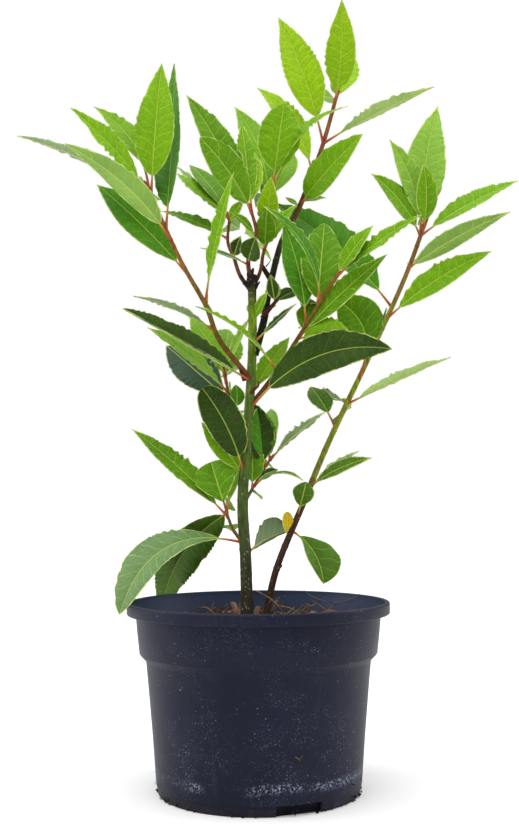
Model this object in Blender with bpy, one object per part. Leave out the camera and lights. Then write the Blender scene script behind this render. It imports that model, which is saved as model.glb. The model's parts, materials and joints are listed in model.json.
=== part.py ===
# Young two-stemmed bay laurel in a round nursery pot.
# Metres, +Z up. The origin is the centre of the pot's underside, +X is the plant's right.
import bpy
from math import cos, exp, pi, radians, sin, tau
from random import Random
from mathutils import Matrix, Vector, noise
from mathutils.bvhtree import BVHTree

mm = 0.001
gap = 0.3 * mm          # clearance between pieces that touch

# Pot: a turned plastic shell with a rolled rim, a stacking shoulder and a cut foot.
rimRadius = 95.0 * mm
rimTop = 135.0 * mm
bandDrop = 8.5 * mm     # depth of the rim's outer band
shoulderTop = 98.5 * mm
shoulderDrop = 4.5 * mm
baseRadius = 72.4 * mm
wall = 1.6 * mm
footHeight = 8.0 * mm
footInner = 65.0 * mm
padRadius = 16.0 * mm
notchCount = 3
notchWidth = 33.0 * mm
notchTurn = radians(-68)
potSides = 60

# Potting mix and the bark chips on it.
soilTop = 118.0 * mm
soilFlat = 15.0 * mm    # the mix is level this far round a stem
soilRings = 6
soilSides = 40
chipCount = 28
chipSeed = 11

# Leaves: shares are of the leaf's whole length, petiole and all.
leafThick = 0.011
petiole = 0.13
petioleRadius = 0.75 * mm
leafStations = (0.0, 0.13, 0.21, 0.38, 0.6, 0.8, 0.94)
foldRise = 0.22         # how far the halves rise from the midrib, per half width
kinds = {
    "lance": {"width": 0.24, "bow": 0.04, "sway": 0.0},
    "oval": {"width": 0.33, "bow": 0.04, "sway": 0.0},
    "broad": {"width": 0.44, "bow": 0.05, "sway": 0.0},
    "round": {"width": 0.58, "bow": 0.06, "sway": 0.0},
    "arched": {"width": 0.36, "bow": 0.16, "sway": 0.0},
    "swept": {"width": 0.29, "bow": 0.04, "sway": -0.13},
}

# Stems: a route in millimetres (right, back, up) from the foot to the bud, the thickness
# at each end, the share of the length that is bare limb, and what the stem grows from.
stems = {
    "main": {
        "route": ((-8, 0, 118), (-9, 0, 165), (-11, 1, 208), (-7, 2, 262), (-4, 2, 318),
                  (-4, 0, 376)),
        "thick": (9.0, 6.6), "bare": 1.0, "on": None,
    },
    "second": {
        "route": ((7, -2, 118), (16, 3, 158), (35, 13, 206), (51, 23, 250), (83, 37, 313),
                  (115, 46, 379), (134, 48, 429)),
        "thick": (4.6, 2.2), "bare": 0.33, "on": None,
    },
    "leader": {
        "route": ((-4, 2, 318), (8, 13, 363), (19, 23, 403), (34, 30, 434), (51, 38, 480),
                  (64, 41, 525)),
        "thick": (4.2, 2.0), "bare": 0.42, "on": "main",
    },
    "left": {
        "route": ((-5, 0, 297), (-27, -10, 324), (-37, -18, 349), (-55, -27, 381),
                  (-78, -35, 432)),
        "thick": (3.6, 1.8), "bare": 0.21, "on": "main",
    },
    "right": {
        "route": ((-6, 3, 276), (9, 3, 295), (26, 0, 320), (46, -12, 351),
                  (58, -22, 369)),
        "thick": (3.6, 1.8), "bare": 0.2, "on": "main",
    },
    "stub_left": {
        "route": ((-4, 0, 367), (-15, 8, 388), (-20, 14, 403), (-19, 20, 424)),
        "thick": (2.8, 1.6), "bare": 0.0, "on": "main",
    },
    "stub_mid": {
        "route": ((-4, 0, 370), (-6, -4, 384), (0, -9, 402), (-4, -14, 420)),
        "thick": (2.8, 1.6), "bare": 0.0, "on": "main",
    },
    "stub_right": {
        "route": ((-4, 0, 367), (6, 8, 396), (10, 10, 425), (12, 10, 439)),
        "thick": (2.8, 1.6), "bare": 0.0, "on": "main",
    },
    "spur": {
        "route": ((4, 8, 343), (11, 4, 351), (14, 0, 354)),
        "thick": (2.2, 1.6), "bare": 0.0, "on": "leader",
    },
    "left_mid": {
        "route": ((-6, 2, 262), (-20, 14, 284), (-25, 26, 307)),
        "thick": (2.8, 1.6), "bare": 0.0, "on": "main",
    },
    "lower_left": {
        "route": ((-10, 0, 175), (-19, -4, 189), (-24, -8, 205)),
        "thick": (2.8, 1.6), "bare": 0.0, "on": "main",
    },
    "lower_right": {
        "route": ((-11, 1, 204), (0, 13, 223), (10, 19, 239)),
        "thick": (2.6, 1.6), "bare": 0.0, "on": "main",
    },
}
flares = {"main": 2.0, "second": 0.9}     # root flare, added to the radius at the soil
headSwell = 1.1                           # swollen pruned head of the main stem

# Leaves read off the plant, stem by stem: the share of the stem where the petiole leaves
# it, the heading in the front view (degrees clockwise from straight up), the lean away
# from the front in degrees, the length in millimetres, the kind, and how far the upper
# face is turned from the front towards the sky, in degrees.
leaves = {
    "main": (
        (0.18, 66, 40, 58, "round", 110),
        (0.23, -118, -15, 104, "arched", 50),
        (0.42, -28, -15, 72, "broad", 10),
        (0.42, -40, 0, 46, "broad", 20),
        (0.61, 72, -25, 120, "swept", 15),
        (0.65, 32, 35, 70, "oval", 20),
        (0.68, -64, -35, 118, "oval", 62),
        (0.80, 50, -25, 46, "oval", 40),
        (0.86, 26, -15, 26, "oval", 30),
        (0.89, -150, 40, 40, "oval", 25),
    ),
    "second": (
        (0.19, -10, 10, 16, "round", 10),
        (0.21, 150, -25, 48, "round", 60),
        (0.24, 14, -15, 28, "round", 0),
        (0.29, 56, -25, 50, "broad", 50),
        (0.31, 54, 30, 52, "oval", 125),
        (0.46, -26, 45, 54, "broad", 20),
        (0.52, 68, -25, 88, "oval", 112),
        (0.53, -86, 40, 12, "broad", 80),
        (0.58, -22, -15, 60, "round", 0),
        (0.74, 58, -10, 94, "oval", 30),
        (0.77, -46, 5, 118, "oval", 40),
        (0.87, 64, -25, 84, "oval", 150),
        (0.95, 58, 5, 94, "oval", 60),
        (0.95, -44, -25, 64, "oval", 30),
        (0.95, 10, 15, 114, "lance", 0),
        (0.96, -14, 20, 94, "lance", 20),
        (0.97, -4, -25, 48, "oval", 0),
    ),
    "leader": (
        (0.56, -52, 15, 14, "oval", 25),
        (0.57, 46, -30, 72, "oval", 30),
        (0.58, 70, 25, 22, "oval", 60),
        (0.69, -28, 20, 94, "oval", 10),
        (0.81, 68, -20, 94, "oval", 130),
        (0.81, -18, 5, 110, "oval", 0),
        (0.96, 2, -30, 74, "oval", 10),
        (0.97, 16, 30, 84, "lance", 10),
        (0.99, -32, -10, 10, "oval", 0),
    ),
    "left": (
        (0.28, -72, -40, 74, "oval", 108),
        (0.41, 14, -20, 96, "lance", 50),
        (0.56, -44, 10, 100, "oval", 25),
        (0.74, -52, -30, 96, "oval", 140),
        (0.81, 2, 10, 128, "oval", 55),
        (0.85, -60, 0, 118, "oval", 102),
        (0.95, -46, -35, 84, "oval", 50),
        (0.95, 4, 5, 100, "oval", 5),
        (0.97, -32, 25, 100, "oval", 30),
    ),
    "right": (
        (0.29, -54, -30, 82, "oval", 72),
        (0.53, 48, -15, 86, "oval", 30),
        (0.53, 72, -60, 48, "round", 150),
        (0.57, 20, 40, 40, "broad", 20),
        (0.63, -12, 0, 78, "oval", 20),
        (0.80, -29, -25, 95, "oval", 55),
        (0.76, 4, 15, 64, "broad", 0),
        (0.98, 36, -20, 42, "oval", 50),
        (0.99, 60, -25, 76, "oval", 50),
    ),
    "stub_left": (
        (0.44, 22, -45, 20, "broad", 20),
        (0.70, -62, 25, 66, "oval", 50),
        (0.90, 36, -25, 20, "round", 20),
        (0.94, -44, 25, 66, "oval", 50),
        (0.97, -32, 35, 76, "oval", 45),
        (0.98, -40, 35, 84, "oval", 120),
    ),
    "stub_mid": (
        (0.22, -64, -20, 40, "oval", 140),
        (0.25, -6, -60, 28, "round", 10),
        (0.63, -56, -45, 30, "oval", 40),
        (0.93, -38, -30, 68, "broad", 15),
        (0.94, -6, 15, 84, "lance", 10),
        (0.96, -28, 5, 102, "oval", 25),
        (0.97, -2, 20, 66, "lance", 10),
    ),
    "stub_right": (
        (0.43, 4, -45, 36, "broad", 0),
        (0.45, 42, -35, 42, "oval", 50),
        (0.61, 6, -60, 56, "broad", 170),
        (0.65, -6, 35, 72, "oval", 55),
        (0.85, -16, 30, 113, "lance", 20),
        (0.91, 24, 40, 74, "lance", 20),
        (0.95, 40, 0, 90, "oval", 60),
        (0.97, 8, -5, 68, "broad", 0),
    ),
    "spur": (
        (0.93, -4, -30, 22, "broad", 0),
        (0.93, 58, 30, 26, "broad", 40),
        (0.96, 10, 20, 16, "oval", 0),
    ),
    "left_mid": (
        (0.32, -2, 20, 20, "round", 20),
        (0.34, -48, 35, 92, "oval", 10),
        (0.61, -52, -25, 78, "oval", 60),
        (0.77, -28, 40, 86, "oval", 20),
        (0.79, 0, 55, 86, "broad", 20),
    ),
    "lower_left": (
        (0.65, -142, 46, 103, "arched", 25),
        (0.71, -48, 20, 104, "oval", 45),
        (0.80, -16, 20, 42, "round", 0),
        (0.84, 14, 50, 68, "oval", 20),
    ),
    "lower_right": (
        (0.33, 130, -45, 14, "round", 90),
        (0.36, 0, 20, 40, "broad", 10),
        (0.43, 84, -40, 46, "arched", 90),
        (0.56, 64, -35, 20, "broad", 40),
        (0.72, -8, 10, 55, "broad", 20),
        (0.81, -6, 10, 48, "broad", 20),
        (0.96, 2, 50, 66, "oval", 35),
        (0.97, 50, -30, 60, "oval", 120),
    ),
}

# Leaves on the far side of the shoots follow the golden angle by a seeded rule.
farSeed = 7
farPitch = 17.0         # millimetres of shoot to each leaf
farLength = (44, 70)
farLean = (62, 82)      # degrees away from the front
farStray = 15           # degrees off the golden angle at most
farFan = 0.5            # the turn round the shoot is narrowed to this share in the front view
firstFar = 0.7          # pitches from the shoot's foot to its first far leaf
goldenAngle = 137.5
# Far leaves left out, counted from the foot, where the plant stands open to the light.
farGaps = {
    "second": (0, 1, 4, 5, 8, 9, 11), "leader": (1, 3, 4, 5), "left": (2, 3, 4, 5),
    "right": (1,), "stub_left": (0,), "stub_mid": (0,), "stub_right": (0,),
}

colours = {
    "pot": ((0.022, 0.024, 0.040), 0.45),
    "mix": ((0.075, 0.045, 0.030), 0.95),
    "bark": ((0.090, 0.095, 0.050), 0.80),
    "leaf": ((0.105, 0.260, 0.015), 0.45),
}


# ---- small shared tools ----

def makeMaterial(name):
    colour, roughness = colours[name]
    material = bpy.data.materials.new(name)
    material.use_nodes = True
    shader = material.node_tree.nodes["Principled BSDF"]
    shader.inputs["Base Color"].default_value = (*colour, 1.0)
    shader.inputs["Roughness"].default_value = roughness
    shader.inputs["Metallic"].default_value = 0.0
    return material


def makeObject(name, verts, faces):
    mesh = bpy.data.meshes.new(name)
    mesh.from_pydata(verts, [], faces)
    mesh.validate()
    piece = bpy.data.objects.new(name, mesh)
    bpy.context.scene.collection.objects.link(piece)
    return piece


def applyModifiers(piece):
    graph = bpy.context.evaluated_depsgraph_get()
    mesh = bpy.data.meshes.new_from_object(piece.evaluated_get(graph))
    piece.modifiers.clear()
    piece.data = mesh


def combine(piece, others, operation):
    # One Boolean on a collection, applied, with the collection's objects then removed.
    tools = bpy.data.collections.new("tools")
    bpy.context.scene.collection.children.link(tools)
    for other in others:
        for home in list(other.users_collection):
            home.objects.unlink(other)
        tools.objects.link(other)
    boolean = piece.modifiers.new("combine", "BOOLEAN")
    boolean.operation = operation
    boolean.operand_type = "COLLECTION"
    boolean.collection = tools
    applyModifiers(piece)
    for other in others:
        bpy.data.objects.remove(other)
    bpy.data.collections.remove(tools)


def finishPiece(piece, material, smooth=True):
    piece.data.materials.clear()
    piece.data.materials.append(material)
    if smooth:
        piece.data.shade_smooth()
        piece.data.set_sharp_from_angle(angle=radians(40))


def turned(name, profile, sides):
    # A closed outline (radius, height) spun about Z; points on the axis become poles.
    verts = []
    rings = []
    for radius, height in profile:
        if radius < 1e-7:
            rings.append([len(verts)] * sides)
            verts.append((0.0, 0.0, height))
            continue
        rings.append(list(range(len(verts), len(verts) + sides)))
        for k in range(sides):
            verts.append((radius * cos(tau * k / sides), radius * sin(tau * k / sides), height))
    faces = []
    for lower, upper in zip(rings, rings[1:]):
        for k in range(sides):
            n = (k + 1) % sides
            corners = []
            for v in (lower[k], lower[n], upper[n], upper[k]):
                if v not in corners:
                    corners.append(v)
            if len(corners) > 2:
                faces.append(corners)
    return makeObject(name, verts, faces)


# ---- stems ----

def smoothLine(points, steps=12):
    # A Catmull-Rom curve through the points, in metres.
    points = [Vector(p) * mm for p in points]
    points = [2 * points[0] - points[1]] + points + [2 * points[-1] - points[-2]]
    line = []
    for a, b, c, d in zip(points, points[1:], points[2:], points[3:]):
        for step in range(steps):
            u = step / steps
            line.append(0.5 * (2 * b + (c - a) * u + (2 * a - 5 * b + 4 * c - d) * u * u
                               + (3 * b - a - 3 * c + d) * u ** 3))
    line.append(points[-2])
    return line


def lineAt(line, share):
    # The point at a share of the line's length, and the direction there.
    lengths = [(b - a).length for a, b in zip(line, line[1:])]
    rest = share * sum(lengths)
    for a, b, length in zip(line, line[1:], lengths):
        if rest <= length:
            return a.lerp(b, rest / length), (b - a).normalized()
        rest -= length
    return line[-1].copy(), (line[-1] - line[-2]).normalized()


def lineLength(line):
    return sum((b - a).length for a, b in zip(line, line[1:]))


def stemRadius(key, share, length):
    # Straight taper, a root flare over the first centimetre, and a swollen pruned head.
    foot, bud = stems[key]["thick"]
    radius = 0.5 * (foot + (bud - foot) * share)
    radius += flares.get(key, 0.0) * exp(-share * length / (6 * mm))
    if key == "main":
        radius += headSwell * exp(-(((1 - share) * length / mm - 5.0) / 5.0) ** 2)
    return radius * mm


def tube(name, line, radii, sides, pointed):
    # Rings carried along the line without twisting, flat at the foot.
    verts = []
    count = len(line)
    across = (line[1] - line[0]).orthogonal().normalized()
    for k, (point, radius) in enumerate(zip(line, radii)):
        ahead = line[min(k + 1, count - 1)] - line[max(k - 1, 0)]
        ahead.normalize()
        across = (across - ahead * across.dot(ahead)).normalized()
        other = ahead.cross(across)
        for s in range(sides):
            turn = tau * s / sides
            verts.append(point + (across * cos(turn) + other * sin(turn)) * radius)
    faces = [list(range(sides))[::-1]]
    for k in range(count - 1):
        for s in range(sides):
            n = (s + 1) % sides
            low = k * sides
            high = low + sides
            faces.append([low + s, low + n, high + n, high + s])
    top = (count - 1) * sides
    if pointed:
        verts.append(line[-1] + (line[-1] - line[-2]).normalized() * radii[-1] * 3.0)
        faces += [[top + s, top + (s + 1) % sides, len(verts) - 1] for s in range(sides)]
    else:
        faces.append(list(range(top, top + sides)))
    return makeObject(name, verts, faces)


def stemTube(name, key, first, last, pointed, extra=0.0):
    # The stretch of a stem between two shares, as a tapering tube.
    line = smoothLine(stems[key]["route"])
    length = lineLength(line)
    count = max(3, round((last - first) * length / (9 * mm)) + 1)
    shares = [first + (last - first) * k / (count - 1) for k in range(count)]
    inSoil = key in flares and first == 0.0
    if inSoil:
        shares = [0.0, 5 * mm / length, 12 * mm / length] + [s for s in shares if s * length > 18 * mm]
    points = [lineAt(line, share)[0] for share in shares]
    radii = [stemRadius(key, share, length) + extra for share in shares]
    points[0] += (points[0] - points[1]).normalized() * extra
    points[-1] += (points[-1] - points[-2]).normalized() * extra
    sides = {"main": 12}.get(key, 8 if stems[key]["bare"] else 6)
    piece = tube(name, points, radii, sides, pointed)
    if inSoil:
        for vert in piece.data.vertices[:sides]:
            vert.co.z = soilTop + gap - extra
    return piece


def fatLimb(key):
    # A limb's bare stretch grown by the clearance, to cut what grows from it.
    return stemTube(key + "_clearance", key, 0.0, stems[key]["bare"], False, gap)


# ---- leaves ----

def faceNormal(chord, turn):
    # Square to the leaf's chord: towards the front at 0 degrees, towards the sky at 90.
    along = chord.normalized()
    front = Vector((0, -1, 0))
    front = (front - along * front.dot(along)).normalized()
    sky = along.cross(front)
    if sky.z < 0:
        sky.negate()
    return front * cos(radians(turn)) + sky * sin(radians(turn))


def bladeShape(share):
    # Half the blade's width at a share of the blade's length, 1 at its widest.
    return sin(pi * share ** 0.9) ** 0.75


def leafPiece(name, joint, reach, kind, turn):
    # A closed blade on its petiole: rings of left edge, top, right edge, underside.
    look = kinds[kind]
    length = reach.length
    normal = faceNormal(reach, turn)
    side = reach.normalized().cross(normal)
    middle = joint + reach * 0.5
    middle += normal * (2 * look["bow"] * length) + side * (2 * look["sway"] * length)
    tip = joint + reach
    thick = 0.5 * leafThick * length
    verts = []
    for share in leafStations:
        point = joint.lerp(middle, share).lerp(middle.lerp(tip, share), share)
        ahead = (middle - joint).lerp(tip - middle, share).normalized()
        out = ahead.cross(normal).normalized()
        upper = out.cross(ahead)
        if share <= petiole:
            half = petioleRadius
            rise = 0.0
            deep = petioleRadius
        else:
            blade = (share - petiole) / (1 - petiole)
            half = max(0.5 * look["width"] * length * bladeShape(blade), petioleRadius)
            rise = foldRise * half
            deep = thick
        verts.append(point - out * half + upper * rise)
        verts.append(point + upper * deep)
        verts.append(point + out * half + upper * rise)
        verts.append(point - upper * deep)
    verts.append(tip)
    last = len(leafStations) - 1
    faces = [[0, 3, 2, 1]]
    for k in range(last):
        low = 4 * k
        for s in range(4):
            n = (s + 1) % 4
            faces.append([low + s, low + n, low + 4 + n, low + 4 + s])
    for s in range(4):
        faces.append([4 * last + s, 4 * last + (s + 1) % 4, len(verts) - 1])
    return makeObject(name, verts, faces)


def growLeaf(key, row, name):
    share, heading, lean, length, kind, turn = row
    joint = lineAt(smoothLine(stems[key]["route"]), share)[0]
    level = cos(radians(lean))
    reach = Vector((sin(radians(heading)) * level, sin(radians(lean)), cos(radians(heading)) * level))
    return leafPiece(name, joint, reach * length * mm, kind, turn)


def farRows(key):
    # One leaf per pitch of shoot, turned round it by the golden angle, reaching back.
    random = Random(f"{key} {farSeed}")
    bare = stems[key]["bare"]
    length = lineLength(smoothLine(stems[key]["route"])) / mm
    count = int((1 - bare) * length / farPitch)
    rows = []
    for k in range(count):
        share = bare + (1 - bare) * (k + firstFar) / count
        around = (goldenAngle * k + random.uniform(-farStray, farStray)) % 360 - 180
        lean = random.uniform(*farLean)
        length = random.uniform(*farLength)
        if k not in farGaps.get(key, ()):
            rows.append((share, farFan * around, lean, length, "oval", 90))
    return rows


# ---- the parts ----

def buildPot():
    outline = [
        (0.0, 0.0), (padRadius, 0.0), (padRadius + 1 * mm, footHeight),
        (footInner, footHeight), (footInner + 1 * mm, 0.0), (baseRadius, 0.0),
        (baseRadius + 1.4 * mm, footHeight),
        (81.2 * mm, shoulderTop - shoulderDrop), (85.7 * mm, shoulderTop),
        (88.6 * mm, rimTop - bandDrop), (93.8 * mm, rimTop - bandDrop),
        (rimRadius, rimTop - bandDrop + 1.2 * mm), (rimRadius, rimTop - 1.4 * mm),
        (rimRadius - 0.9 * mm, rimTop), (rimRadius - 2.4 * mm, rimTop),
        (rimRadius - 3.2 * mm, rimTop - 1.2 * mm),
        (88.6 * mm - wall, rimTop - bandDrop - 2 * mm), (85.7 * mm - wall, shoulderTop),
        (81.2 * mm - wall, shoulderTop - shoulderDrop),
        (baseRadius, footHeight + 2.4 * mm), (baseRadius - 1 * mm, footHeight + 2 * mm),
        (0.0, footHeight + 2 * mm),
    ]
    pot = turned("pot", outline, potSides)
    notches = []
    for k in range(notchCount):
        turn = notchTurn + tau * k / notchCount
        bpy.ops.mesh.primitive_cube_add(size=1.0)
        notch = bpy.context.object
        size = Matrix.Diagonal((24 * mm, notchWidth, 2 * (footHeight - 0.5 * mm), 1.0))
        place = Matrix.Rotation(turn, 4, "Z") @ Matrix.Translation((72 * mm, 0, 0))
        notch.data.transform(place @ size)
        notches.append(notch)
    combine(pot, notches, "DIFFERENCE")
    return pot


def soilRadius(height):
    # The pot's inner radius at a height, less the clearance.
    bottom = footHeight + 2.4 * mm
    step = shoulderTop - shoulderDrop
    if height <= step:
        share = (height - bottom) / (step - bottom)
        return baseRadius + (81.2 * mm - wall - baseRadius) * share - 2 * gap
    if height <= shoulderTop:
        share = (height - step) / shoulderDrop
        return (81.2 + 4.5 * share) * mm - wall - 2 * gap
    share = (height - shoulderTop) / (rimTop - bandDrop - 2 * mm - shoulderTop)
    return (85.7 + 2.9 * share) * mm - wall - 2 * gap


def soilHeight(x, y):
    # Gentle lumps that fade out at the wall and round the stems.
    clear = min((Vector((x, y)) - Vector(stems[key]["route"][0][:2]) * mm).length
                for key in ("main", "second"))
    fade = min(1.0, max(0.0, (clear - soilFlat) / (15 * mm)))
    lump = noise.noise(Vector((x, y, 0)) * 60.0) + 0.5 * noise.noise(Vector((x, y, 1)) * 140.0)
    return soilTop + 2.2 * mm * lump * fade


def buildChip(name, random):
    # A splinter of bark lying or leaning on the mix.
    for _ in range(40):
        reach = (soilRadius(soilTop) - 12 * mm) * random.random() ** 0.5
        turn = random.uniform(0, tau)
        x = reach * cos(turn)
        y = reach * sin(turn)
        clear = min((Vector((x, y)) - Vector(stems[key]["route"][0][:2]) * mm).length
                    for key in ("main", "second"))
        if clear > soilFlat + 6 * mm:
            break
    size = Vector((random.uniform(10, 22), random.uniform(4, 9), random.uniform(2.0, 3.5))) * mm
    place = Matrix.Translation((x, y, soilHeight(x, y) + 0.4 * size.z))
    place @= Matrix.Rotation(random.uniform(0, tau), 4, "Z")
    place @= Matrix.Rotation(radians(random.uniform(-22, 22)), 4, "Y")
    place @= Matrix.Rotation(radians(random.uniform(-12, 12)), 4, "X")
    bpy.ops.mesh.primitive_cube_add(size=1.0)
    chip = bpy.context.object
    chip.name = name
    for vert in chip.data.vertices:
        taper = 1.0 - 0.35 * (vert.co.x > 0)
        vert.co = Vector((vert.co.x * size.x, vert.co.y * size.y * taper, vert.co.z * size.z))
    chip.data.transform(place)
    return chip


def buildMix():
    bottom = footHeight + 2.4 * mm + gap
    step = shoulderTop - shoulderDrop
    outline = [(0.0, bottom)]
    for height in (bottom, step, shoulderTop, soilTop):
        outline.append((soilRadius(height), height))
    for ring in range(soilRings - 1, 0, -1):
        outline.append((soilRadius(soilTop) * ring / soilRings, soilTop))
    outline.append((0.0, soilTop))
    mix = turned("potting_mix", outline, soilSides)
    for vert in mix.data.vertices:
        inside = Vector((vert.co.x, vert.co.y)).length < soilRadius(soilTop) - 1 * mm
        if inside and vert.co.z > soilTop - 1e-6:
            vert.co.z = soilHeight(vert.co.x, vert.co.y)
    random = Random(chipSeed)
    chips = [buildChip(f"chip_{k}", random) for k in range(chipCount)]
    combine(mix, chips, "UNION")
    return mix


def buildLimb(key):
    # The bare stretch of a stem, from the soil or from its parent, with a flat end.
    stem = stems[key]
    name = key + ("_bough" if stem["on"] else "_stem")
    limb = stemTube(name, key, 0.0, stem["bare"], False)
    if stem["on"]:
        combine(limb, [fatLimb(stem["on"])], "DIFFERENCE")
    return limb


def buildShoot(key):
    # The leafy stretch of a stem fused with its leaves, clear of what it grows from.
    bare = stems[key]["bare"]
    first = bare + gap / lineLength(smoothLine(stems[key]["route"])) if bare else 0.0
    shoot = stemTube(key + "_shoot", key, first, 1.0, True)
    rows = [row for row in leaves[key] if row[0] > bare]
    combine(shoot, [growLeaf(key, row, f"leaf_{n}") for n, row in enumerate(rows)], "UNION")
    if not bare:
        combine(shoot, [fatLimb(stems[key]["on"])], "DIFFERENCE")
    return shoot


def buildLoneLeaves(key):
    # Leaves on a bare limb, each a piece of its own.
    rows = [row for row in leaves[key] if row[0] <= stems[key]["bare"]]
    pieces = []
    for n, row in enumerate(rows, start=1):
        leaf = growLeaf(key, row, f"{key}_leaf_{n}")
        combine(leaf, [fatLimb(key)], "DIFFERENCE")
        pieces.append(leaf)
    return pieces


def surfaceOf(piece):
    return BVHTree.FromPolygons([v.co for v in piece.data.vertices],
                                [p.vertices for p in piece.data.polygons])


def addFarLeaves(key, pieces):
    # Far-side leaves that touch no other piece are fused into their shoot.
    own = pieces[key + "_shoot"]
    others = [surfaceOf(piece) for piece in pieces.values() if piece != own]
    kept = []
    for n, row in enumerate(farRows(key)):
        leaf = growLeaf(key, row, f"far_{n}")
        surface = surfaceOf(leaf)
        if any(surface.overlap(other) for other in others):
            bpy.data.objects.remove(leaf)
        else:
            kept.append(leaf)
    if kept:
        combine(own, kept, "UNION")


def buildAll():
    for old in list(bpy.data.objects):
        bpy.data.objects.remove(old)
    materials = {name: makeMaterial(name) for name in colours}
    finishPiece(buildPot(), materials["pot"])
    finishPiece(buildMix(), materials["mix"], smooth=False)
    limbs = {}
    foliage = {}
    for key, stem in stems.items():
        if stem["bare"]:
            limbs[key] = buildLimb(key)
            foliage.update({leaf.name: leaf for leaf in buildLoneLeaves(key)})
        if stem["bare"] < 1.0:
            foliage[key + "_shoot"] = buildShoot(key)
    for key in stems:
        if key + "_shoot" in foliage:
            addFarLeaves(key, {**limbs, **foliage})
    for limb in limbs.values():
        finishPiece(limb, materials["bark"])
    for piece in foliage.values():
        finishPiece(piece, materials["leaf"])


buildAll()
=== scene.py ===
# Young bay laurel in a round nursery pot: fine leaves, twigs, bark, potting mix and plastic.
import json
from math import cos, exp, pi, radians, sin, tau
from random import Random
import bmesh
import bpy
from mathutils import Euler, Matrix, Vector, noise
from mathutils.bvhtree import BVHTree

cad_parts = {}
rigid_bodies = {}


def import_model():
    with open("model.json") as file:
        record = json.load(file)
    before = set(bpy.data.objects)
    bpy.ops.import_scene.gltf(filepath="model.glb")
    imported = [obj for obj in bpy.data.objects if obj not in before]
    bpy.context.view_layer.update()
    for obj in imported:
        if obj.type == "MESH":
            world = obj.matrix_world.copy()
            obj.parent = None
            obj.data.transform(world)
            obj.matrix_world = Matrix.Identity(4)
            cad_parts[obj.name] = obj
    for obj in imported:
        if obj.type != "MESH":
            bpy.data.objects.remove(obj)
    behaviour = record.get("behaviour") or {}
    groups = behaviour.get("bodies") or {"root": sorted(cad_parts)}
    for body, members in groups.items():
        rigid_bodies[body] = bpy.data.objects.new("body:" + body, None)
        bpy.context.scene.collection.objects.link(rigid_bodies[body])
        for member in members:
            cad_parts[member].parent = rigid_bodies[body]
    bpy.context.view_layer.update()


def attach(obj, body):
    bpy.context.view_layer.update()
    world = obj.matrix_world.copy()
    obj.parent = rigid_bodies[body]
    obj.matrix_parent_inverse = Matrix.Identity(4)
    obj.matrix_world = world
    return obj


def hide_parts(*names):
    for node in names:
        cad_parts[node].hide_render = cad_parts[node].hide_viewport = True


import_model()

mm = 0.001
scene = bpy.context.scene


# One wire of a node tree, written into sums as plain Python.
class Wire:
    def __init__(self, tree, holder=None, socket=None):
        self.tree, self.holder, self.socket = tree, holder, socket

    def node(self, kind, settings=None, sockets=None, out=0):
        made = self.tree.nodes.new(kind)
        for name, value in (settings or {}).items():
            if name == "stops":
                setStops(made.color_ramp.elements, value)
            else:
                setattr(made, name, value)
        for name, value in (sockets or {}).items():
            self.plug(value, made.inputs[name])
        return Wire(self.tree, made, made.outputs[out])

    def plug(self, value, socket):
        if isinstance(value, Wire):
            self.tree.links.new(value.socket, socket)
        elif value is not None:
            socket.default_value = value

    def out(self, name):
        return Wire(self.tree, self.holder, self.holder.outputs[name])

    def shader(self, kind, settings=None, sockets=None, out=0):
        return self.node("ShaderNode" + kind, settings, sockets, out)

    def geometry(self, kind, settings=None, **sockets):
        sockets = {name.replace("_", " "): value for name, value in sockets.items()}
        return self.node("GeometryNode" + kind, settings, sockets)

    def math(self, operation, *terms):
        return self.shader("Math", {"operation": operation}, dict(enumerate(terms)))

    def vector(self, operation, *terms, out=0):
        return self.shader("VectorMath", {"operation": operation}, dict(enumerate(terms)), out)

    def axis(self, name):
        return self.shader("SeparateXYZ", {}, {0: self}).out(name)

    def between(self, low, high):
        # 0 below the first value, 1 above the second, smooth in between.
        settings = {"interpolation_type": "SMOOTHSTEP"}
        return self.shader("MapRange", settings, {"Value": self, "From Min": low, "From Max": high})

    def noise(self, scale, detail=3.0, rough=0.55):
        sockets = {"Vector": self, "Scale": scale, "Detail": detail, "Roughness": rough}
        return self.shader("TexNoise", {}, sockets)

    def cells(self, scale, feature="F1"):
        return self.shader("TexVoronoi", {"feature": feature}, {"Vector": self, "Scale": scale})

    def stretched(self, *scale):
        return self.shader("Mapping", {}, {"Vector": self, "Scale": scale})

    def blend(self, amount, first, second, way="MIX"):
        tones = [tone if isinstance(tone, Wire) else (*tone, 1.0) for tone in (first, second)]
        settings = {"data_type": "RGBA", "blend_type": way}
        return self.shader("Mix", settings, {0: amount, 6: tones[0], 7: tones[1]}, 2)

    def mix(self, first, second):
        return self.blend(self, first, second)

    def ramp(self, *stops):
        return self.shader("ValToRGB", {"stops": stops}, {"Fac": self})


def setStops(elements, stops):
    while len(elements) < len(stops):
        elements.new(1.0)
    for element, (place, colour) in zip(elements, stops):
        element.position = place
        element.color = (*colour, 1.0)


def arithmetic(operation, swapped):
    def act(self, *others):
        terms = (self, *others)
        return self.math(operation, *(terms[::-1] if swapped else terms))
    return act


Wire.__abs__ = arithmetic("ABSOLUTE", False)
for sign, operation in (("add", "ADD"), ("sub", "SUBTRACT"), ("mul", "MULTIPLY"), ("truediv", "DIVIDE"),
                        ("mod", "FLOORED_MODULO")):
    setattr(Wire, f"__{sign}__", arithmetic(operation, False))
    setattr(Wire, f"__r{sign}__", arithmetic(operation, True))


def newMaterial(name):
    material = bpy.data.materials.new(name)
    material.use_nodes = True
    return material


def newFinish(name):
    # A material, its wires, and the place on the object.
    material = newMaterial(name)
    graph = Wire(material.node_tree)
    return material, graph, graph.shader("TexCoord").out("Object")


def attribute(graph, name):
    return graph.shader("Attribute", {"attribute_name": name})


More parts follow.
